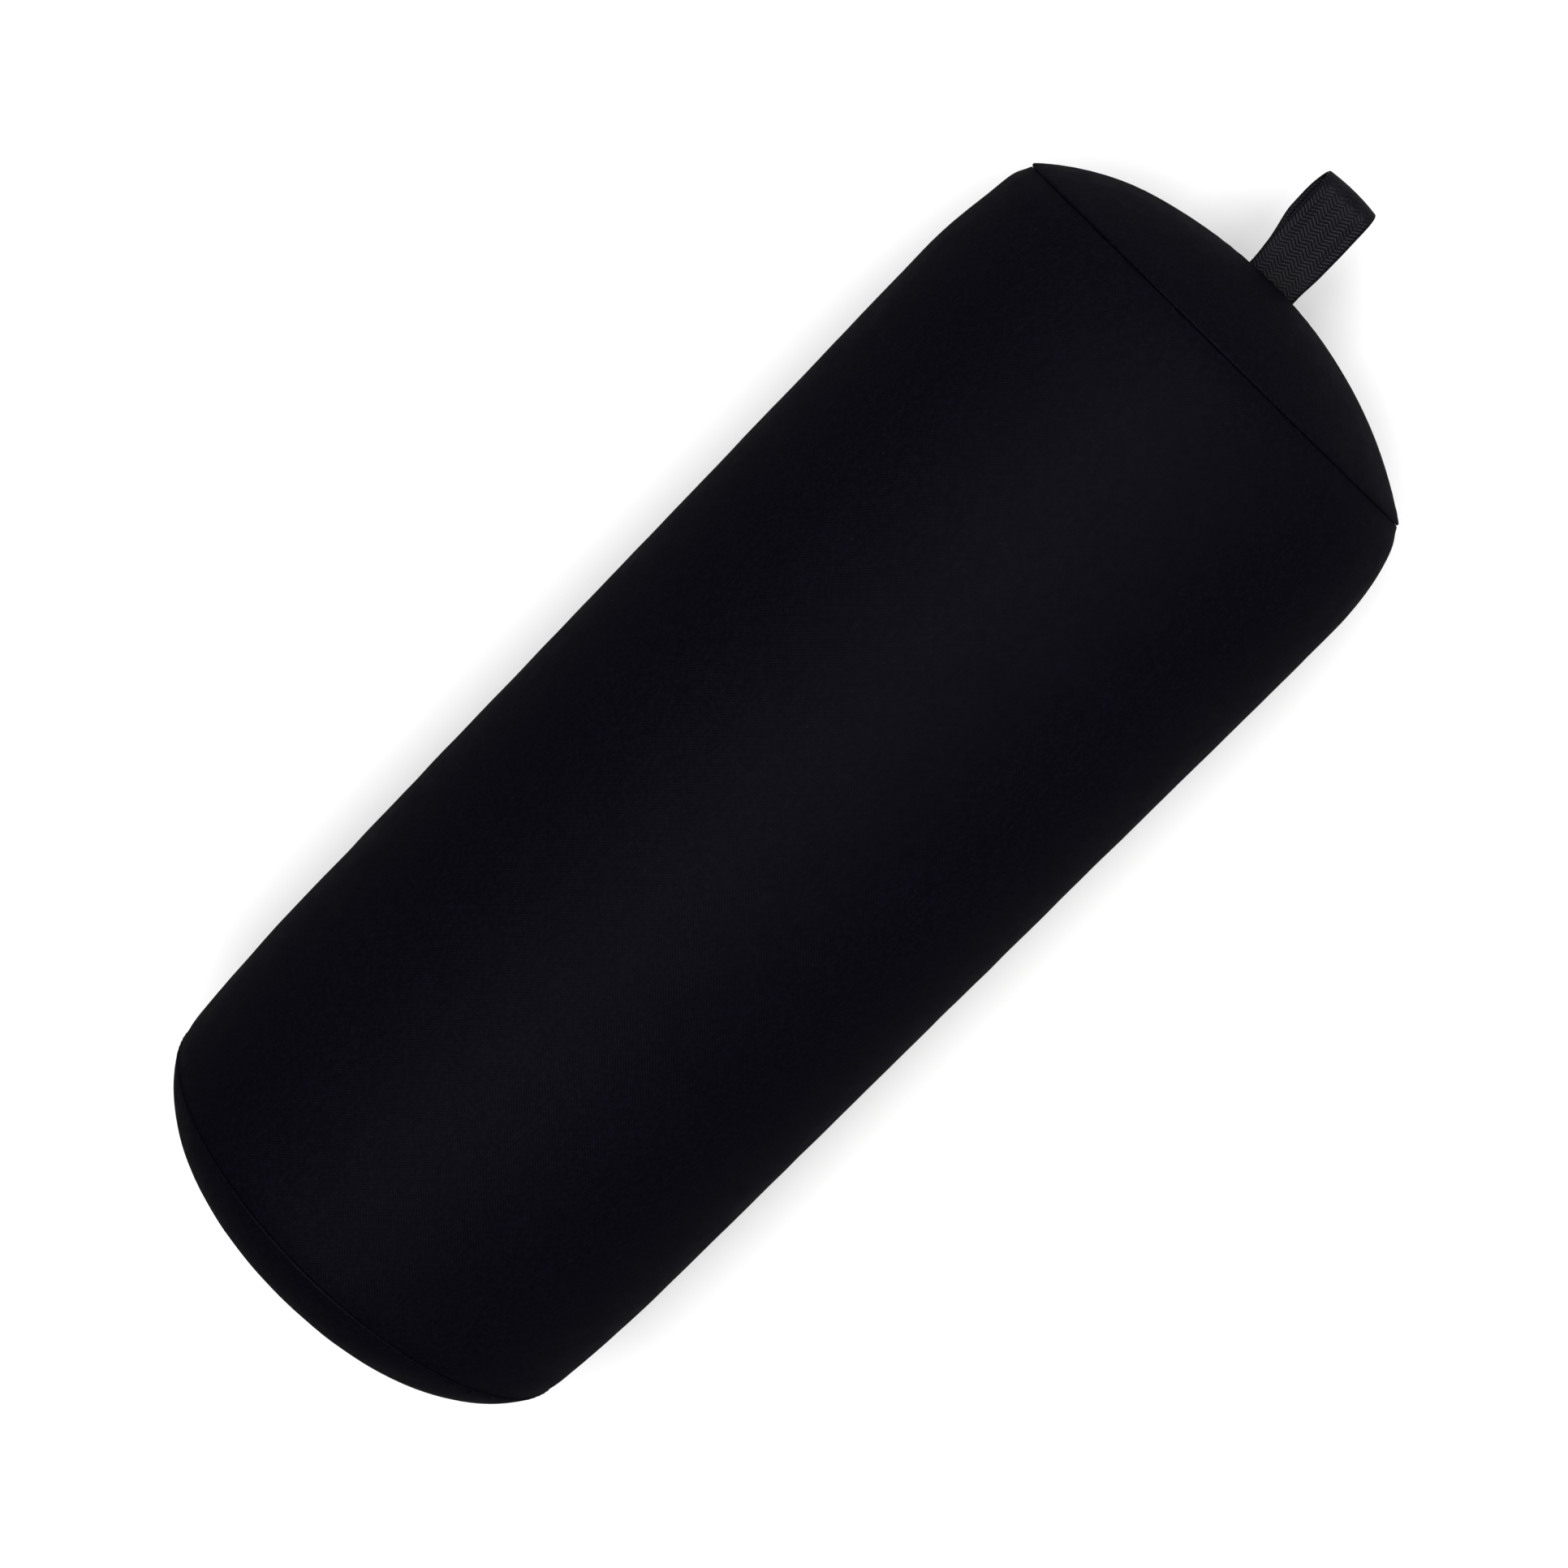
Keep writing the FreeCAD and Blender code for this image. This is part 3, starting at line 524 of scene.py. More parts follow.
class Surface:
    """A procedural material on one Principled shader. Its texture is measured in metres, along and
    across the cloth from its UVs or in the object's own space."""

    def __init__(self, name, **sockets):
        self.material = bpy.data.materials.new(name)
        self.material.use_nodes = True
        self.nodes, self.links = self.material.node_tree.nodes, self.material.node_tree.links
        self.shader = self.nodes["Principled BSDF"]
        for socket, amount in {"Roughness": 0.8, **sockets}.items():
            self.shader.inputs[socket.replace("_", " ")].default_value = amount
        uv = self.node("ShaderNodeUVMap")
        uv.uv_map = "weave"
        split = self.node("ShaderNodeSeparateXYZ", uv.outputs["UV"])
        self.along, self.across = split.outputs["X"], split.outputs["Y"]
        self.place = self.node("ShaderNodeTexCoord").outputs["Object"]

    def _feed(self, socket, value):
        if isinstance(value, bpy.types.NodeSocket):
            self.links.new(value, socket)
        else:
            socket.default_value = value

    def node(self, kind, *values, **named):
        """A new node of a kind. Its first sockets are fed in order, and others by name."""
        node = self.nodes.new(kind)
        for socket, value in zip(node.inputs, values):
            self._feed(socket, value)
        for name, value in named.items():
            self._feed(node.inputs[name], value)
        return node

    def math(self, operation, *values):
        node = self.node("ShaderNodeMath", *values)
        node.operation = operation
        return node.outputs[0]

    def times(self, first, second):
        return self.math("MULTIPLY", first, second)

    def plus(self, first, second):
        return self.math("ADD", first, second)

    def swing(self, value, period):
        """A sine wave that crosses 0 once in each period."""
        return self.math("SINE", self.times(value, math.pi / period))

    def ridges(self, value, period):
        return self.math("ABSOLUTE", self.swing(value, period))

    def noise(self, size, detail=2.0, place=None, roughness=0.5):
        """Noise from 0 to 1 with features of a size in metres."""
        sockets = {"Scale": 1 / size, "Detail": detail, "Roughness": roughness}
        return self.node("ShaderNodeTexNoise", place or self.place, **sockets).outputs["Fac"]

    def cells(self, size):
        """Distance to the nearest of scattered points, about a size apart."""
        return self.node("ShaderNodeTexVoronoi", self.place, Scale=1 / size).outputs["Distance"]

    def span(self, value, low, high, from_low=0.0, from_high=1.0):
        """value moved from one range to another, held at the ends."""
        return self.node("ShaderNodeMapRange", value, from_low, from_high, low, high).outputs[0]

    def mix(self, share, first, second):
        node = self.node("ShaderNodeMix")
        node.data_type = "RGBA"
        self._feed(node.inputs["Factor"], share)
        for socket, colour in ((node.inputs["A"], first), (node.inputs["B"], second)):
            self._feed(socket, (*colour, 1) if isinstance(colour, tuple) else colour)
        return node.outputs["Result"]

    def colours(self, base, *layers):
        """The base colour under layers of (mask, strength, start, full, colour). A layer begins where
        its mask is above start, and has its strength where the mask is above full."""
        for mask, strength, start, full, colour in layers:
            base = self.mix(self.span(mask, 0.0, strength, start, full), base, colour)
        self._feed(self.shader.inputs["Base Color"], base)

    def rough(self, mask, low, high, start=0.3, full=0.7):
        """Roughness from low to high, as a mask goes from start to full."""
        self._feed(self.shader.inputs["Roughness"], self.span(mask, low, high, start, full))

    def bumps(self, *layers):
        """Bumps from (height, depth in metres) pairs, one over another."""
        below = {}
        for height, depth in layers:
            node = self.node("ShaderNodeBump", Strength=1, Distance=depth, Height=height, **below)
            below = {"Normal": node.outputs["Normal"]}
        for socket in ("Normal", "Coat Normal"):
            self.links.new(below["Normal"], self.shader.inputs[socket])

    def plain_weave(self, pitch):
        """Height of a plain weave, where each thread goes over one and under one. Its threads wander a
        little, so that they aren't ruled lines."""
        wander = self.times(self.noise(3 * MM, 1.0), 0.6 * pitch)
        warp = self.swing(self.plus(self.along, wander), pitch)
        weft = self.swing(self.math("SUBTRACT", self.across, wander), pitch)
        lift = self.times(self.math("SIGN", self.times(warp, weft)), 0.3)
        warp_height = self.times(self.math("ABSOLUTE", warp), self.plus(0.7, lift))
        weft_height = self.times(self.math("ABSOLUTE", weft), self.math("SUBTRACT", 0.7, lift))
        return self.math("MAXIMUM", warp_height, weft_height)


def cover_cloth():
    """Dark matt cloth with a fine plain weave, slubs, a soft nap and a little lint. Its coat has a high
    index of refraction, which gives the faint broad band of light."""
    cloth = Surface(
        "cover_cloth", Specular_IOR_Level=0.004, Coat_Weight=0.0055, Coat_IOR=4, Coat_Roughness=0.53
    )
    weave = cloth.plain_weave(0.42 * MM)
    stretched = cloth.node("ShaderNodeCombineXYZ", cloth.times(cloth.along, 0.06), cloth.across)
    slub = cloth.noise(0.7 * MM, 1.0, stretched.outputs[0])
    grain = cloth.noise(1.1 * MM)
    mottle = cloth.noise(5 * MM, 4.0, roughness=0.65)
    broad = cloth.noise(60 * MM)
    lint = cloth.math("LESS_THAN", cloth.cells(7 * MM), 0.022)
    cloth.colours(
        (0.0002, 0.0001, 0.0006),
        (weave, 1.0, 0.2, 0.95, (0.0010, 0.0009, 0.0029)),
        (slub, 0.55, 0.5, 0.8, (0.0019, 0.0017, 0.0043)),
        (grain, 0.55, 0.42, 0.72, (0.0029, 0.0026, 0.0058)),
        (mottle, 0.4, 0.45, 0.75, (0.0019, 0.0017, 0.0043)),
        (broad, 0.35, 0.35, 0.7, (0.0008, 0.0006, 0.0022)),
        (lint, 0.35, 0.0, 1.0, (0.020, 0.020, 0.026)),
    )
    cloth.rough(mottle, 0.68, 0.84)
    cloth.bumps((mottle, 0.05 * MM), (grain, 0.06 * MM), (slub, 0.03 * MM), (weave, 0.07 * MM))
    return cloth.material


def webbing():
    """Ribbed webbing with a faint chevron."""
    web = Surface(
        "webbing", Specular_IOR_Level=0.02, Coat_Weight=0.015, Coat_IOR=2.5, Coat_Roughness=0.34
    )
    pitch = 0.95 * MM
    fold = web.math("PINGPONG", web.across, 2 * pitch)
    rib = web.ridges(web.plus(web.along, web.times(fold, 0.55)), pitch)
    column = web.ridges(web.across, pitch)
    yarn = web.times(rib, web.plus(0.55, web.times(column, 0.45)))
    fibre = web.noise(0.35 * MM)
    mottle = web.noise(4 * MM, 3.0)
    web.colours(
        (0.0010, 0.0011, 0.0019),
        (yarn, 1.0, 0.15, 0.9, (0.0046, 0.0048, 0.0070)),
        (mottle, 0.5, 0.45, 0.75, (0.0060, 0.0059, 0.0073)),
    )
    web.rough(fibre, 0.5, 0.72)
    web.bumps((mottle, 0.06 * MM), (fibre, 0.03 * MM), (yarn, 0.11 * MM))
    return web.material


def thread():
    """Twisted thread: slanting plies along its length."""
    made = Surface("thread", Specular_IOR_Level=0.15, Sheen_Weight=0.02, Sheen_Roughness=0.4)
    ply = made.ridges(made.plus(made.along, made.times(made.across, 0.9)), 0.42 * MM)
    fibre = made.noise(0.2 * MM)
    made.colours((0.0060, 0.0062, 0.0090), (ply, 1.0, 0.1, 0.9, (0.0270, 0.0275, 0.0360)))
    made.rough(fibre, 0.42, 0.62)
    made.bumps((fibre, 0.02 * MM), (ply, 0.09 * MM))
    return made.material


def zip_tape():
    """Close herringbone tape."""
    tape = Surface("zip_tape", Specular_IOR_Level=0.12, Sheen_Weight=0.01, Sheen_Roughness=0.4)
    fold = tape.math("PINGPONG", tape.across, 2.2 * MM)
    twill = tape.ridges(tape.plus(tape.along, fold), 0.6 * MM)
    warp = tape.ridges(tape.across, 0.45 * MM)
    height = tape.plus(tape.times(twill, 0.6), tape.times(warp, 0.4))
    mottle = tape.noise(6 * MM, 3.0)
    tape.colours(
        (0.0040, 0.0041, 0.0060),
        (height, 1.0, 0.2, 0.95, (0.0145, 0.0148, 0.0200)),
        (mottle, 0.4, 0.45, 0.75, (0.0200, 0.0200, 0.0240)),
    )
    tape.rough(mottle, 0.6, 0.8)
    tape.bumps((mottle, 0.04 * MM), (height, 0.11 * MM))
    return tape.material


def zip_coil():
    """Black nylon monofilament with scuffed tops."""
    coil = Surface("zip_coil", Specular_IOR_Level=0.5)
    scuff = coil.noise(1.4 * MM, 3.0)
    grime = coil.noise(9 * MM, 3.0)
    coil.colours(
        (0.0080, 0.0082, 0.0100),
        (grime, 0.45, 0.45, 0.75, (0.0220, 0.0220, 0.0240)),
        (scuff, 0.5, 0.55, 0.75, (0.0300, 0.0300, 0.0330)),
    )
    coil.rough(scuff, 0.24, 0.46, 0.35)
    coil.bumps((scuff, 0.02 * MM), (coil.noise(0.25 * MM), 0.008 * MM))
    return coil.material


def zip_metal():
    """Black enamelled metal, worn to bare metal on its edges, with fine scratches."""
    metal = Surface("zip_metal", Specular_IOR_Level=0.5, Coat_Weight=0.3, Coat_Roughness=0.18)
    geometry = metal.node("ShaderNodeNewGeometry")
    scratched = metal.noise(0.5 * MM, 4.0, roughness=0.7)
    stretched = metal.node("ShaderNodeMapping", metal.place, Scale=(0.15, 1, 1))
    scratches = metal.noise(0.22 * MM, place=stretched.outputs[0])
    edge = metal.span(geometry.outputs["Pointiness"], 0.0, 1.0, 0.53, 0.6)
    wear = metal.times(edge, metal.span(scratched, 0.0, 1.0, 0.4, 0.6))
    metal.colours((0.012, 0.012, 0.014), (wear, 1.0, 0.0, 1.0, (0.32, 0.31, 0.30)))
    metal.links.new(metal.times(wear, 0.9), metal.shader.inputs["Metallic"])
    metal.rough(scratches, 0.26, 0.48, 0.35, 0.65)
    metal.bumps((scratched, 0.012 * MM), (scratches, 0.01 * MM))
    return metal.material


def foam(name, dark, light, cell, depth):
    """Open or closed cells, with pores between them and a broad change of tone."""
    made = Surface(name, Roughness=0.9, Specular_IOR_Level=0.15)
    cells = made.cells(cell)
    pores = made.noise(cell * 0.35, 3.0)
    broad = made.noise(30 * MM, 3.0)
    aged = tuple(part * 0.75 for part in light)
    made.colours(
        light,
        (cells, 1.0, 0.0, 0.7, dark),
        (broad, 0.35, 0.4, 0.75, aged),
        (pores, 0.5, 0.55, 0.75, dark),
    )
    made.rough(pores, 0.82, 0.97)
    made.bumps((broad, 0.4 * MM), (pores, depth * 0.4), (cells, depth))
    return made.material


MATERIALS = {
    "cover_cloth": cover_cloth(),
    "webbing": webbing(),
    "thread": thread(),
    "zip_tape": zip_tape(),
    "zip_coil": zip_coil(),
    "zip_metal": zip_metal(),
    "core_foam": foam("core_foam", (0.016, 0.016, 0.018), (0.055, 0.055, 0.060), 3.2 * MM, 0.35 * MM),
    "soft_foam": foam("soft_foam", (0.30, 0.29, 0.26), (0.62, 0.61, 0.56), 0.9 * MM, 0.2 * MM),
}


def build(name, parts, slot, *nodes, body="cover"):
    """A piece in its slot's material, riding on a body. It stands for the CAD nodes named."""
    obj = make_object(name, *parts, MATERIALS[slot])
    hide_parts(*nodes)
    if body:
        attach(obj, body)
    return obj


# Cover


UNDULATION = 0.12 * MM
SIDE_UNDULATION_SIZE, DOME_UNDULATION_SIZE = 38 * MM, 30 * MM
STITCH_DENT = 0.22 * MM
DENT_REACH = 0.8 * MM
SEAM_STITCH = 3.2 * MM
SEAM_DIMPLE = 0.1 * MM
DIMPLE_REACH = 2 * MM
CURL_STEPS = 7


def seam_dip(distance, depth=SEAM_DIP):
    """How far the cloth dips at a distance from an end seam."""
    return depth * np.exp(-((distance / DIP_REACH) ** 2))


def stitch_dimples(angle, radius, distance):
    """How an end seam's stitches raise and dent the cloth at a distance from it."""
    stitches = np.cos(angle * round(FULL_TURN * radius / SEAM_STITCH))
    return SEAM_DIMPLE * stitches * bell(distance, DIMPLE_REACH)


def from_zip(angle):
    """How far an angle is from the zip's."""
    return np.abs((angle - ZIP_ANGLE + math.pi) % FULL_TURN - math.pi)


def side_rows():
    """(along, radius) pairs of the side from one turned-in edge to the other, and how much relief
    each row has. It fades out where the cloth curls into a seam."""
    plain = PROFILES["plain"].side_curl(CURL_STEPS, 6)
    loop = PROFILES["loop"].side_curl(CURL_STEPS, 6)
    fade = 1 - smoothstep(0, CURL_STEPS, np.arange(len(loop)))
    first, last, slot = -plain[0, 0], loop[0, 0], SLOT_HALF_LENGTH
    close_to, close_from = first + 12 * MM, last - 12 * MM  # between them the rows are further apart
    middle = in_steps(
        (first, close_to, 15),
        (close_to, -slot, 10),
        (-slot, slot, 104),
        (slot, close_from, 10),
        (close_from, last, 15),
    )[1:]
    rows = np.stack([middle, side_radius(middle)], axis=1)
    rows = np.concatenate([plain[::-1] * (-1, 1), rows, loop])
    return rows, np.concatenate([fade[::-1], np.ones(len(middle)), fade])


def side_columns():
    """Angles round the side. The slot's two edges are columns, and the columns are close beside it."""
    edge = math.asin(SLOT_HALF_WIDTH / RADIUS)
    beside = edge + math.radians(6)
    turns = in_steps(
        (-edge, edge, 9),
        (edge, beside, 11),
        (beside, FULL_TURN - beside, 231),
        (FULL_TURN - beside, FULL_TURN - edge, 11),
    )
    return turns + ZIP_ANGLE, edge


def stitch_groove(along, angle):
    """Depth of the groove that the zip's stitching draws in the cloth."""
    across, past = from_zip(angle) * RADIUS, np.abs(along)
    line_across, line_along = SLOT_HALF_WIDTH + STITCH_LINE, SLOT_HALF_LENGTH + STITCH_LINE
    beside = np.where(past < line_along, np.abs(across - line_across), 1)
    beyond = np.where(across < line_across, np.abs(past - line_along), 1)
    return STITCH_DENT * bell(np.minimum(beside, beyond), DENT_REACH)


def make_side():
    (rows, share), (angles, edge) = side_rows(), side_columns()
    along, angle = rows[:, :1], angles[None, :]
    faces, corner_rows, corner_columns = grid(len(rows), len(angles), closed=True)
    lift = relief.on_side(along, angle)
    spots = round_axis(along, RADIUS, angle).reshape(-1, 3)
    lift = lift + UNDULATION * perlin(spots, SIDE_UNDULATION_SIZE).reshape(lift.shape)
    from_seam = HALF_SPAN - np.abs(along)
    lift = lift + stitch_dimples(angle, RADIUS, from_seam) - stitch_groove(along, angle)
    depth = np.where(along > 0, PROFILES["loop"].side_dip, PROFILES["plain"].side_dip)
    radius = rows[:, 1:] + lift * share[:, None] - seam_dip(from_seam, depth)
    points = leaned(round_axis(along, radius, angle).reshape(-1, 3))
    points[:, 2] = np.maximum(points[:, 2], 0)  # flat on the floor, where the roller's weight is
    around = np.append(angles, angles[0] + FULL_TURN) * RADIUS
    uvs = np.stack([lengths_along(rows)[corner_rows], around[corner_columns]], axis=2)
    off_zip = from_zip(around[corner_columns].mean(axis=1) / RADIUS)
    off_middle = np.abs(rows[corner_rows, 0].mean(axis=1))
    cloth = ~((off_zip < edge) & (off_middle < SLOT_HALF_LENGTH))
    used, faces = np.unique(faces[cloth][:, ::-1], return_inverse=True)
    points = points[used]
    full = smoothstep(2 * MM, 9 * MM, HALF_SPAN - np.abs(points[:, 0]))
    thickness = CLOTH_AT_SEAM + (CLOTH - CLOTH_AT_SEAM) * full
    parts = thicken(points, faces.reshape(-1, 4), uvs[cloth][:, ::-1], thickness)
    build("cover_side", parts, "cover_cloth", "side_panel")


PANEL_STEPS = 90  # faces across an end panel
RIM_CLOSENESS = 1.35  # how much closer together its points are at the rim


def disc_map(u, v):
    """Share of the radius and angle for points of a square, so that its edge becomes a circle. Points
    are closest together at the circle."""
    wide = np.abs(u) > np.abs(v)
    share = np.where(wide, np.abs(u), np.abs(v))
    safe_u, safe_v = np.where(u == 0, 1, u), np.where(v == 0, 1, v)
    angle = np.where(wide, math.pi / 4 * v / safe_u, QUARTER_TURN - math.pi / 4 * u / safe_v)
    angle = np.where(np.where(wide, u, v) < 0, angle + math.pi, angle)
    return 1 - (1 - share) ** RIM_CLOSENESS, np.where(share == 0, 0, angle)


def dome_surface(name, share, angle):
    """Points on a dome with its relief, and the directions straight out of it."""
    profile = PROFILES[name]
    along, radius, slope = profile.dome(share * profile.dome_length)
    points = round_axis(profile.sign * along, radius, angle)
    outward = from_axis(np.sin(slope), angle)
    outward[..., 0] = profile.sign * np.cos(slope)
    lift = relief.on_dome(name, share, angle)
    uneven = perlin(points.reshape(-1, 3), DOME_UNDULATION_SIZE, 2)
    lift = lift + UNDULATION * uneven.reshape(lift.shape)
    from_seam = (1 - share) * profile.dome_length
    lift = lift + stitch_dimples(angle, profile.seam_radius, from_seam)
    return points + outward * lift[..., None] - from_axis(seam_dip(from_seam), angle), outward


def rim_rings(name, angles, rim):
    """Rings past a dome's rim, into the seam. The rim's own relief fades out as the cloth curls in."""
    profile = PROFILES[name]
    curl = profile.dome_curl(CURL_STEPS, 5)
    rings = round_axis(profile.sign * curl[:, :1], curl[:, 1:] - SEAM_DIP, angles[None, :])
    along, radius, _ = profile.dome(profile.dome_length)
    raised = rim - round_axis(profile.sign * along, radius - SEAM_DIP, angles)
    fade = 1 - smoothstep(0, CURL_STEPS, np.arange(1, len(curl) + 1))
    return rings + raised * fade[:, None, None]


def extended(points, faces, edge, rings, closed=False):
    """A sheet with rings of points added to those of its edge."""
    ring_faces, _, _ = grid(len(rings) + 1, len(edge), closed)
    ids = np.concatenate([edge, len(points) + np.arange(len(rings) * len(edge))])
    return np.concatenate([points, *rings]), np.concatenate([faces, ids[ring_faces][:, ::-1]])


def plain_end_panel():
    """One disc of cloth. Its grid is square in the middle and round at the rim."""
    width, steps = PANEL_STEPS + 1, np.arange(PANEL_STEPS)
    even = np.linspace(-1, 1, width)
    share, angle = disc_map(*np.meshgrid(even, even))
    points = dome_surface("plain", share, angle)[0].reshape(-1, 3)
    right, left = steps * width + PANEL_STEPS, (PANEL_STEPS - steps) * width
    edge = np.concatenate([steps, right, width**2 - 1 - steps, left])
    rings = rim_rings("plain", angle.ravel()[edge], points[edge])
    return extended(points, grid(width, width)[0], edge, rings, closed=True)


LOOP_HALF_WIDTH = 7.5 * MM
WEBBING = 1.2 * MM
TAIL_GAP = WEBBING + 0.05 * MM
FLAP_CURL = 0.7 * MM  # radius of the curl into the centre seam
OPENING_REACH = 9 * MM  # how far from the centre seam its opening moves the cloth
CENTRE_DIMPLE = 0.08 * MM
CENTRE_DIMPLE_REACH = 2.2 * MM


def loop_end_half(sign):
    """Half a disc of cloth. It curls in at the centre seam, which opens round the loop's tails."""
    width, half = PANEL_STEPS + 1, PANEL_STEPS // 2
    u, v = np.meshgrid(np.linspace(-1, 1, width), np.linspace(0, 1, half + 1))
    share, turn = disc_map(u, v)
    angle = QUARTER_TURN - sign * turn
    points, outward = dome_surface("loop", share, angle)
    across = points[0, :, 1]
    shut = smoothstep(LOOP_HALF_WIDTH - 0.5 * MM, LOOP_HALF_WIDTH + 4 * MM, np.abs(across))
    gap = SEAM_GAP + (TAIL_GAP - SEAM_GAP) * (1 - shut)
    stitches = np.cos(across * FULL_TURN / SEAM_STITCH) * CENTRE_DIMPLE
    curl = FLAP_CURL * (1 - 0.9 * smoothstep(0.9, 1, np.abs(u[0])))
    from_seam = np.abs(points[..., 2] - AXIS_Z)
    opened = (gap + curl) * np.exp(-from_seam / OPENING_REACH)
    points[..., 2] = AXIS_Z + sign * np.maximum(from_seam + opened * (1 - v), gap + curl)
    points = points + outward * (stitches * bell(from_seam, CENTRE_DIMPLE_REACH))[..., None]
    start, normal = points[0], outward[0]
    flap, curl_steps, flat_steps = [], 5, 4
    for step in range(1, curl_steps + 1):
        bend = QUARTER_TURN * step / curl_steps
        inward = normal * (curl * (math.cos(bend) - 1))[:, None]
        inward[:, 2] -= sign * curl * math.sin(bend)
        flap.append(start + inward)
    deeper = normal * (SEAM_ALLOWANCE - curl)[:, None]
    flap += [flap[-1] - deeper * step / flat_steps for step in range(1, flat_steps + 1)]
    right, left = np.arange(half) * width + PANEL_STEPS, (half - np.arange(half + 1)) * width
    edge = np.concatenate([right, half * width + PANEL_STEPS - np.arange(PANEL_STEPS), left])
    points = points.reshape(-1, 3)
    rings = rim_rings("loop", angle.ravel()[edge], points[edge])
    rings[..., 2] = AXIS_Z + sign * np.maximum(sign * (rings[..., 2] - AXIS_Z), SEAM_GAP)
    points, faces = extended(points, grid(half + 1, width)[0], np.arange(width), flap)
    return extended(points, faces, edge, rings)


def make_ends():
    """The end panels. Their cloth is cut flat, so its threads run along Y and Z."""
    for name, node, (points, faces), sign in (
        ("cover_plain_end", "end_panel_plain_end", plain_end_panel(), -1),
        ("cover_loop_end_upper", "end_panel_upper_half", loop_end_half(1), 1),
        ("cover_loop_end_lower", "end_panel_lower_half", loop_end_half(-1), 1),
    ):
        if (vertex_normals(points, faces)[:, 0] * sign).mean() < 0:
            faces = faces[:, ::-1]
        points = leaned(points)
        parts = thicken(points, faces, points[faces][:, :, [1, 2]], CLOTH_AT_SEAM)
        build(name, parts, "cover_cloth", node)


make_side()
make_ends()


# Webbing loop


LOOP_BASE = PROFILES["loop"].tip
LOOP_PIVOT = LOOP_BASE + 1.5 * MM
LOOP_TIP = LOOP_BASE + 27.6 * MM
TIP_RADIUS = 4.3 * MM - WEBBING / 2
LOOP_LEAN = 0.03  # sideways for each metre out
LOOP_CUP = 0.45 * MM  # how far the webbing's edges curl in
RIB_PITCH, RIB_HEIGHT = 0.9 * MM, 0.03 * MM  # of the selvedges


def smooth_path(points, spacing):
    """A smooth line through a few points, in even steps."""
    points = np.asarray(points, float)
    before_first, after_last = 2 * points[:1] - points[1:2], 2 * points[-1:] - points[-2:-1]
    padded = np.concatenate([before_first, points, after_last])
    share = np.linspace(0, 1, 24, endpoint=False)[:, None]
    runs = []
    for before, start, end, after in zip(padded, padded[1:], padded[2:], padded[3:]):
        square = (2 * before - 5 * start + 4 * end - after) * share**2
        cube = (3 * start - before - 3 * end + after) * share**3
        runs.append(0.5 * (2 * start + (end - before) * share + square + cube))
    line = np.concatenate([*runs, points[-1:]])
    length = lengths_along(line)
    even = np.linspace(0, length[-1], max(int(length[-1] / spacing), 2) + 1)
    return np.stack([np.interp(even, length, part) for part in line.T], axis=1)


def loop_line():
    """The webbing's middle line in (x, height above the axis), from one inner end round to the other."""
    tip_middle = LOOP_TIP - WEBBING / 2 - TIP_RADIUS
    half = WEBBING / 2
    upper = [
        (LOOP_BASE - 9.2 * MM, half),
        (LOOP_BASE - 4 * MM, half),
        (LOOP_BASE, half + 0.02 * MM),
        (LOOP_PIVOT + 2.5 * MM, half + 0.1 * MM),
        (LOOP_PIVOT + 8 * MM, 1.35 * MM),
        (LOOP_PIVOT + 15 * MM, 2.5 * MM),
        (tip_middle - 0.6 * MM, TIP_RADIUS * 0.985),
    ]
    for turn in (math.radians(30), math.radians(60), math.radians(90)):
        upper.append((tip_middle + TIP_RADIUS * math.sin(turn), TIP_RADIUS * math.cos(turn)))
    return upper + [(x, -height) for x, height in upper[-2::-1]]


def make_loop():
    line = smooth_path(loop_line(), 0.45 * MM)
    count = len(line)
    across = np.linspace(-1, 1, 29) * LOOP_HALF_WIDTH
    out = line[:, 0] - LOOP_BASE
    lower = smoothstep(0.42, 0.62, np.linspace(0, 1, count))  # 0 on the upper strap, 1 on the lower
    pinch = 0.87 + 0.07 * smoothstep(1 * MM, 9 * MM, out)
    spread = smoothstep(6 * MM, 16 * MM, out) * (1 - 0.2 * smoothstep(23 * MM, 30 * MM, out))
    shift = 1.5 * MM * spread * lower - 0.2 * MM * spread * (1 - lower)
    tangents = unit(np.gradient(line, axis=0))
    normal = np.stack([-tangents[:, 1], np.zeros(count), tangents[:, 0]], axis=1)[:, None]
    middle = np.stack([line[:, 0], shift, AXIS_Z + line[:, 1]], axis=1)
    points = np.repeat(middle[:, None], len(across), axis=1)
    points[..., 1] += across[None] * pinch[:, None]
    cupped = (across / LOOP_HALF_WIDTH) ** 2 * LOOP_CUP
    free = smoothstep(2 * MM, 12 * MM, out)[:, None]
    points -= normal * (cupped[None] * free)[..., None]
    length = np.linspace(0, 1, count) * np.linalg.norm(np.diff(line, axis=0), axis=1).sum()
    ribs = np.cos(length[:, None] * FULL_TURN / RIB_PITCH) * RIB_HEIGHT
    points += normal * (ribs * (np.abs(across / LOOP_HALF_WIDTH) > 0.93))[..., None]
    points[..., 1] += np.maximum(out, 0)[:, None] * LOOP_LEAN
    surface = leaned((points + normal * WEBBING / 2).reshape(-1, 3))
    faces, rows, columns = grid(count, len(across))
    uvs = np.stack([length[rows], across[columns]], axis=2)
    parts = thicken(surface, faces[:, ::-1], uvs[:, ::-1], WEBBING * 0.96, rim_steps=4)
    obj = build("hang_loop_webbing", parts, "webbing", "hang_loop", "hang_loop_tails", body=None)
    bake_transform(obj)


make_loop()


# Zip. Across it, the lower tape's side is positive, as its angle is larger.


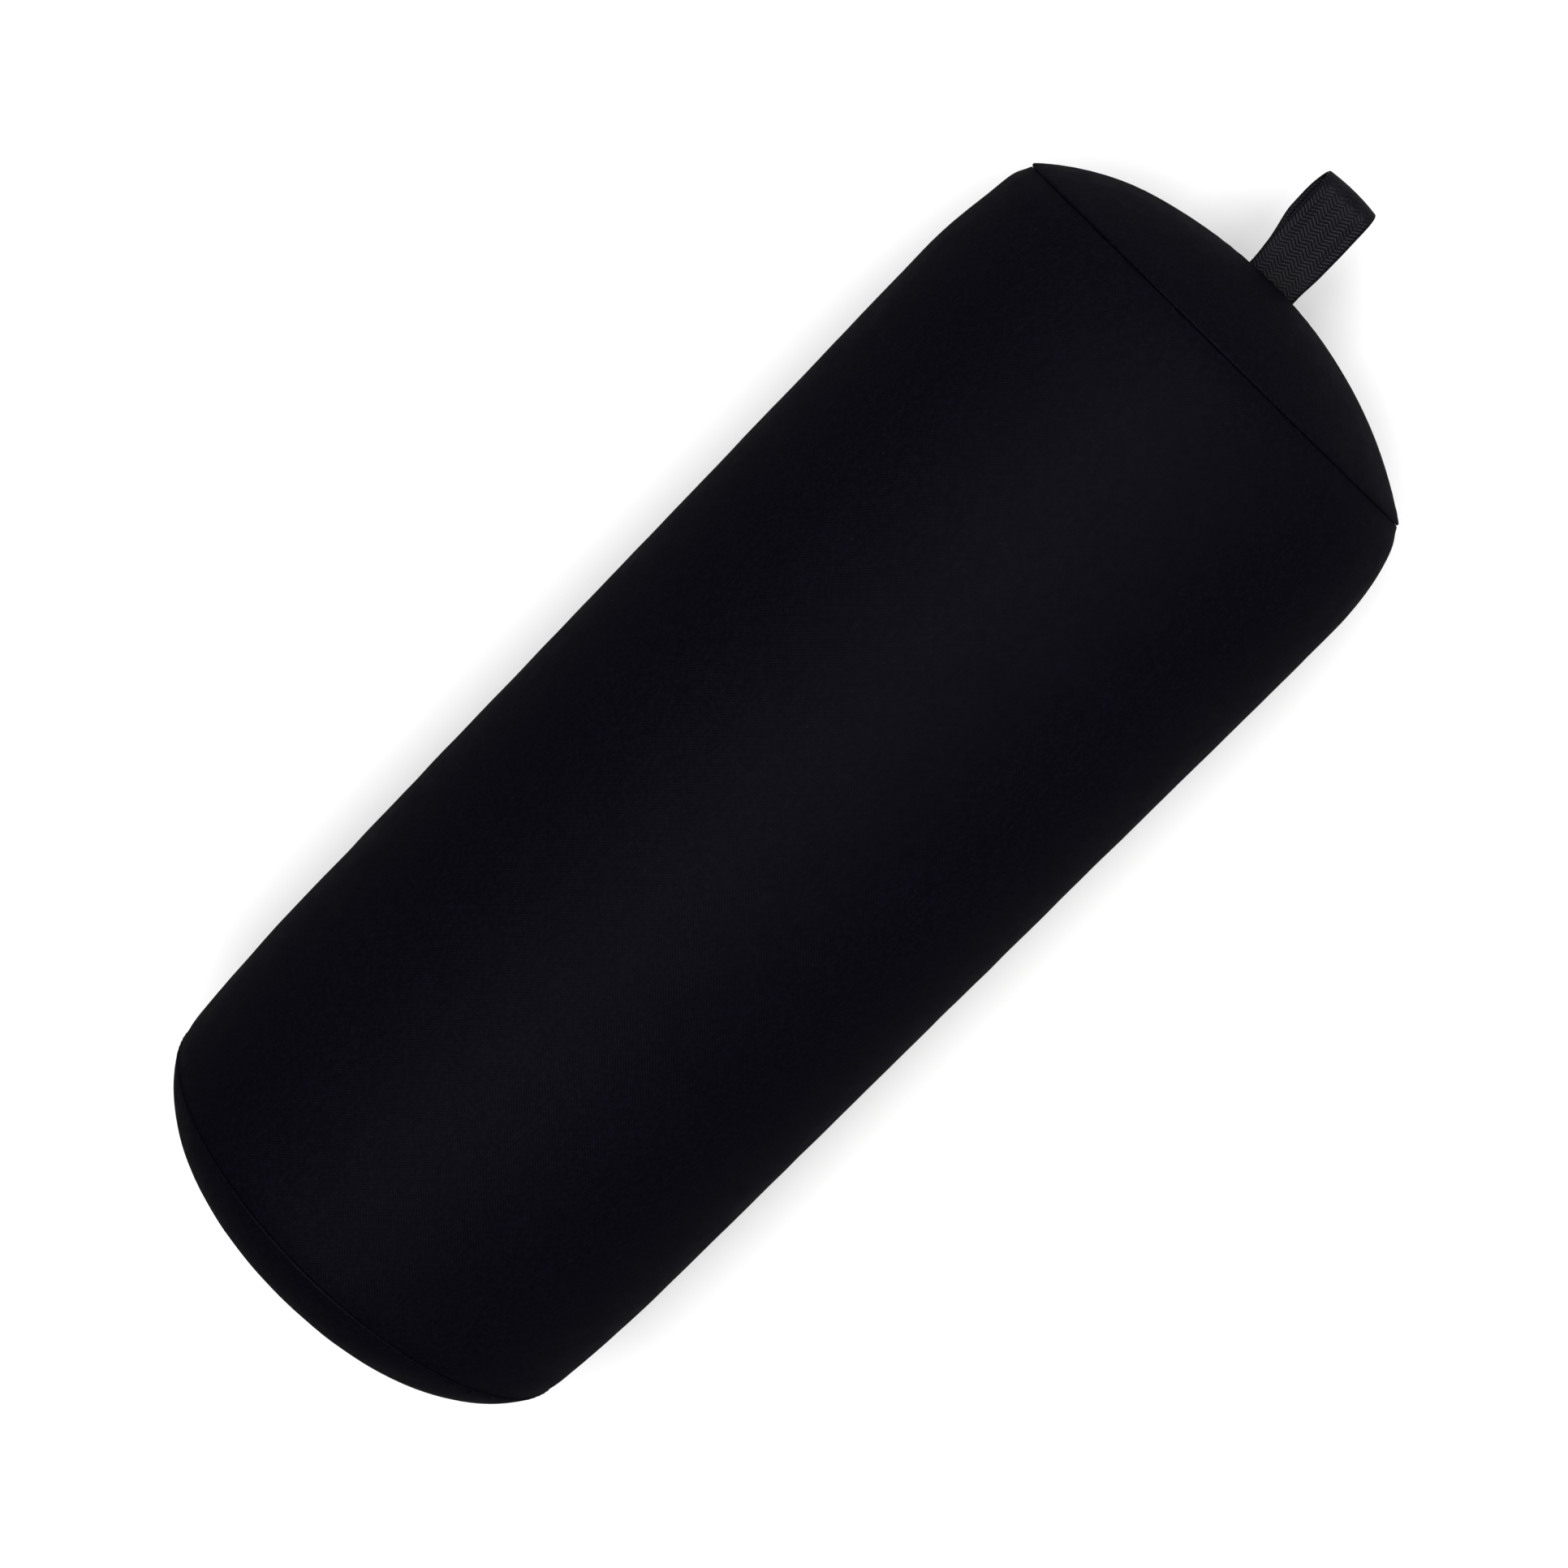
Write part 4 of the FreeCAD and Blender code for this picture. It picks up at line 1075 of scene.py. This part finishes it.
def on_zip(along, across, height):
    """Points on the zip, at a height above the cover's axis measured straight out."""
    along, across, height = np.broadcast_arrays(along, across, height)
    out = np.array([0, math.sin(ZIP_ANGLE), math.cos(ZIP_ANGLE)])
    down = np.array([0, math.cos(ZIP_ANGLE), -math.sin(ZIP_ANGLE)])
    line = np.stack([along, np.zeros_like(along), np.full(along.shape, AXIS_Z)], axis=-1)
    return line + out * height[..., None] + down * across[..., None]


TAPE = 0.7 * MM
TAPE_INNER, TAPE_OUTER = 0.7 * MM, 14 * MM
TAPE_HALF_LENGTH = 129 * MM
RIPPLE, RIPPLE_SIZE = 0.08 * MM, 11 * MM


def make_tapes():
    along = np.linspace(-TAPE_HALF_LENGTH, TAPE_HALF_LENGTH, 190)
    across = np.linspace(TAPE_INNER, TAPE_OUTER, 16)
    surface = np.minimum(side_radius(along), RADIUS) - (RADIUS - TAPE_FRONT)
    flat = np.sqrt(surface[:, None] ** 2 - across[None] ** 2)
    faces, rows, columns = grid(len(along), len(across))
    uvs = np.stack([along[rows], across[columns]], axis=2)
    for side, sign in (("upper", -1), ("lower", 1)):
        ripple = perlin(on_zip(along[:, None], across[None], flat).reshape(-1, 3), RIPPLE_SIZE, sign)
        height = flat - RIPPLE * (1 + ripple.reshape(flat.shape))
        points = on_zip(along[:, None], sign * across[None], height).reshape(-1, 3)
        order = [0, 1, 2, 3][::-sign]  # so that the faces look out
        parts = thicken(points, faces[:, order], uvs[:, order], TAPE * 0.9)
        build(f"zip_{side}_tape", parts, "zip_tape", f"zip_tape_{side}")


COIL_PITCH = 1.5 * MM
COIL_WIRE = 0.34 * MM
COIL_REACH = 3.0 * MM  # from the zip's middle to a coil's outer edge
COIL_OVERLAP = 0.35 * MM  # how far each coil's heads reach past the middle
COIL_HEIGHT = 1.9 * MM
COIL_STEPS = 18


def make_coils():
    """Two flattened helices of nylon, half a pitch apart, so that their heads lock together."""
    turns = int(2 * CHAIN_HALF_LENGTH / COIL_PITCH) - 1
    middle = (COIL_REACH - COIL_OVERLAP) / 2
    half_width = (COIL_REACH + COIL_OVERLAP) / 2 - COIL_WIRE
    half_height = COIL_HEIGHT / 2 - COIL_WIRE
    turn = np.linspace(0, turns, turns * COIL_STEPS + 1)
    angle = turn * FULL_TURN
    height = TAPE_FRONT + COIL_HEIGHT / 2 + half_height * np.sin(angle)
    wire = COIL_WIRE * (1.02 - 0.035 * np.cos(angle) * np.abs(np.cos(angle)))
    for side, sign, phase in (("upper", -1, 0.0), ("lower", 1, 0.5)):
        along = (turn + phase - turns / 2) * COIL_PITCH
        across = sign * (middle + half_width * np.cos(angle))
        parts = tube(on_zip(along, across, height), wire)
        build(f"zip_{side}_coil", parts, "zip_coil", f"zip_coil_{side}")


TOPSTITCH = 3 * MM
TOPSTITCH_THREAD = 0.31 * MM


def make_topstitch():
    """Single stitches round the zip's opening. Each dips into the cloth at its ends."""
    line_along, line_across = SLOT_HALF_LENGTH + STITCH_LINE, SLOT_HALF_WIDTH + STITCH_LINE
    share = np.linspace(-1, 1, 9)
    thick = TOPSTITCH_THREAD * (1 - 0.35 * share**6)
    parts = []
    for lengthwise, end, fixed in (
        (True, line_along, -line_across),
        (True, line_along, line_across),
        (False, line_across, -line_along),
        (False, line_across, line_along),
    ):
        count = int(round(2 * end / TOPSTITCH))
        pitch = 2 * end / count
        for number in range(count):
            run = -end + (number + 0.5) * 2 * end / count + share * pitch * 0.43
            line = np.full(len(share), fixed) + 0.07 * MM * math.sin(number * 2.4)
            along, across = (run, line) if lengthwise else (line, run)
            surface = np.sqrt(side_radius(along) ** 2 - across**2)
            height = surface - STITCH_DENT + 0.26 * MM - 0.55 * MM * np.abs(share) ** 4
            parts.append(tube(on_zip(along, across, height), thick))
    build("zip_opening_stitches", joined(parts), "thread", "zip_topstitch")


make_tapes()
make_coils()
make_topstitch()


# Hardware and foam, rounded from the part's own solids


def vertex_array(mesh, attribute):
    values = np.zeros(len(mesh.vertices) * 3)
    mesh.vertices.foreach_get(attribute, values)
    return values.reshape(-1, 3)


def rounded_copy(name, node, voxel, smoothing, slot, body="cover", swell=0.0):
    """A copy of a CAD node with soft edges. It is rebuilt in small cells, eased and moved out by swell."""
    obj = add(name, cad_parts[node].data.copy())
    obj.data.materials.clear()
    remesh = obj.modifiers.new("remesh", "REMESH")
    remesh.mode, remesh.voxel_size = "VOXEL", voxel
    ease = obj.modifiers.new("ease", "SMOOTH")
    ease.factor, ease.iterations = 0.5, smoothing
    graph = bpy.context.evaluated_depsgraph_get()
    mesh = bpy.data.meshes.new_from_object(obj.evaluated_get(graph))
    bpy.data.objects.remove(obj)
    points = leaned(vertex_array(mesh, "co") + vertex_array(mesh, "normal") * swell)
    faces = np.array([list(face.vertices) for face in mesh.polygons])
    return build(name, (points, faces, points[faces][:, :, :2]), slot, node, body=body)


def make_hardware():
    for name, node, voxel, smoothing, body in (
        ("zip_slider_body", "zip_slider", 0.16 * MM, 2, "slider"),
        ("zip_tab", "zip_pull_tab", 0.16 * MM, 3, "pull_tab"),
        ("zip_stops_open_end", "zip_top_stops", 0.14 * MM, 4, "cover"),
        ("zip_stop_closed_end", "zip_bottom_stop", 0.14 * MM, 4, "cover"),
    ):
        rounded_copy(name, node, voxel, smoothing, "zip_metal", body)


def make_foam():
    for name, node, slot, voxel, fill in (
        ("dense_core", "firm_core", "core_foam", 2.4 * MM, 1.0),
        ("foam_sheet", "foam_wrap", "soft_foam", 1.9 * MM, 0.95),
        ("loop_end_crown", "end_pad_loop_end", "soft_foam", 1.5 * MM, 0.9),
        ("plain_end_crown", "end_pad_plain_end", "soft_foam", 1.5 * MM, 0.9),
    ):
        rounded_copy(name, node, voxel, 3, slot, swell=-0.15 * MM)


make_hardware()
make_foam()


# Stitching inside the cover


OVERLOCK_THREAD = 0.22 * MM
OVERLOCK_HALF_WIDTH, OVERLOCK_HALF_DEPTH = 0.95 * MM, 0.45 * MM
OVERLOCK_INSET = 0.2 * MM  # from the cloths' cut edge to the winding's middle
RING_LOOPS, CENTRE_LOOPS, TACK_ZIGZAGS = 150, 40, 26
CENTRE_SHARE = 0.78  # part of the dome's width that the centre seam's overlock reaches


def overlock_ring(name):
    """Thread wound over the raw edges of the two cloths at an end seam."""
    profile = PROFILES[name]
    edge = profile.seam_radius - (SEAM_DIP + profile.side_dip) / 2 - SEAM_ALLOWANCE
    turn = np.linspace(0, FULL_TURN, RING_LOOPS * 8, endpoint=False)
    wind = turn * RING_LOOPS
    along = profile.sign * (HALF_SPAN + OVERLOCK_HALF_WIDTH * np.cos(wind))
    radius = edge + OVERLOCK_INSET + OVERLOCK_HALF_DEPTH * np.sin(wind)
    return tube(leaned(round_axis(along, radius, turn)), OVERLOCK_THREAD, sides=6, closed=True)


def centre_overlock():
    """Thread wound over the raw edges of the centre seam, which follow the dome."""
    profile = PROFILES["loop"]
    share = np.linspace(-CENTRE_SHARE, CENTRE_SHARE, CENTRE_LOOPS * 10)
    wind = share / CENTRE_SHARE * math.pi * CENTRE_LOOPS
    along, radius, slope = profile.dome(np.abs(share) * profile.dome_length)
    depth = SEAM_ALLOWANCE - OVERLOCK_INSET - OVERLOCK_HALF_DEPTH * np.cos(wind)
    across = np.sign(share) * (radius - depth * np.sin(slope))
    height = AXIS_Z + OVERLOCK_HALF_WIDTH * np.sin(wind)
    path = np.stack([along - depth * np.cos(slope), across, height], axis=1)
    return tube(leaned(path), OVERLOCK_THREAD, sides=6)


def bar_tacks():
    """Close zigzags through the centre seam and the webbing's tails, one on each face."""
    low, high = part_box("loop_bar_tacks")
    share = np.linspace(0, 1, TACK_ZIGZAGS * 6 + 1)
    swing = np.abs((share * TACK_ZIGZAGS) % 2 - 1)
    along = low.x + OVERLOCK_THREAD + (high.x - low.x - 2 * OVERLOCK_THREAD) * swing
    across = low.y + OVERLOCK_THREAD + (high.y - low.y - 2 * OVERLOCK_THREAD) * share
    parts = []
    for height in (low.z + OVERLOCK_THREAD, high.z - OVERLOCK_THREAD):
        path = np.stack([along, across, np.full(len(share), height)], axis=1)
        parts.append(tube(leaned(path), OVERLOCK_THREAD, sides=6))
    return joined(parts)


def make_hidden_stitching():
    for name, parts, node in (
        ("overlock_loop_end", overlock_ring("loop"), "seam_thread_loop_end"),
        ("overlock_plain_end", overlock_ring("plain"), "seam_thread_plain_end"),
        ("overlock_centre_seam", centre_overlock(), "centre_seam_thread"),
        ("loop_tack_stitches", bar_tacks(), "loop_bar_tacks"),
    ):
        build(name, parts, "thread", node)


make_hidden_stitching()


# Floor, lights and camera


FLOOR_HALF_SIZE = 4.0
WORLD_STRENGTH = 0.3
CAMERA_FROM = Vector((147.3 * MM, 0, AXIS_Z + 773.2 * MM))
CAMERA_AT = Vector((1.6 * MM, 0.9 * MM, AXIS_Z))
CAMERA_ROLL = math.radians(45.4)  # from the picture's right to the roller's axis
CAMERA_LENS, CAMERA_SENSOR = 75.5, 36  # in the camera's own millimetres


def make_floor():
    surface = Surface("floor_surface", Roughness=0.85, Specular_IOR_Level=0.2)
    surface.colours((0.75, 0.75, 0.75), (surface.noise(0.35), 1.0, 0.3, 0.7, (0.77, 0.77, 0.765)))
    half = FLOOR_HALF_SIZE
    corners = [(-half, -half, 0), (half, -half, 0), (half, half, 0), (-half, half, 0)]
    mesh = new_mesh("floor", corners, [(0, 1, 2, 3)])
    mesh.materials.append(surface.material)
    add("floor", mesh)


def add_light(name, location, target, size, power):
    """A square light that faces a target."""
    data = bpy.data.lights.new(name, "AREA")
    data.shape, data.size, data.size_y, data.energy = "RECTANGLE", size, size, power
    light = add(name, data)
    light.location = location
    light.rotation_mode = "QUATERNION"
    light.rotation_quaternion = (Vector(target) - light.location).to_track_quat("-Z", "Y")


def make_lights():
    """An even world, a light over the cloth's band of light, and one at each side of the loop end."""
    scene.world = bpy.data.worlds.new("studio")
    scene.world.use_nodes = True
    background = scene.world.node_tree.nodes["Background"]
    background.inputs["Color"].default_value = (1, 1, 1, 1)
    background.inputs["Strength"].default_value = WORLD_STRENGTH
    add_light("overhead", (0.1, 0, 1.5), (0, 0, AXIS_Z), 0.9, 33)
    add_light("dome_left", (0.75, 0.55, 0.35), (0.15, 0, AXIS_Z), 0.5, 2.4)
    add_light("dome_right", (0.75, -0.55, 0.35), (0.15, 0, AXIS_Z), 0.5, 2.4)
    scene.view_settings.view_transform = "Standard"


def make_camera():
    data = bpy.data.cameras.new("camera")
    data.sensor_width, data.lens = CAMERA_SENSOR, CAMERA_LENS
    scene.camera = add("camera", data)
    ahead = (CAMERA_AT - CAMERA_FROM).normalized()
    axis = Vector((1, 0, 0))
    axis = (axis - ahead * axis.dot(ahead)).normalized()
    side = ahead.cross(axis)
    right = axis * math.cos(CAMERA_ROLL) + side * math.sin(CAMERA_ROLL)
    up = axis * math.sin(CAMERA_ROLL) - side * math.cos(CAMERA_ROLL)
    turn = Matrix((right, up, -ahead)).transposed()
    scene.camera.matrix_world = Matrix.Translation(CAMERA_FROM) @ turn.to_4x4()


make_floor()
make_lights()
make_camera()
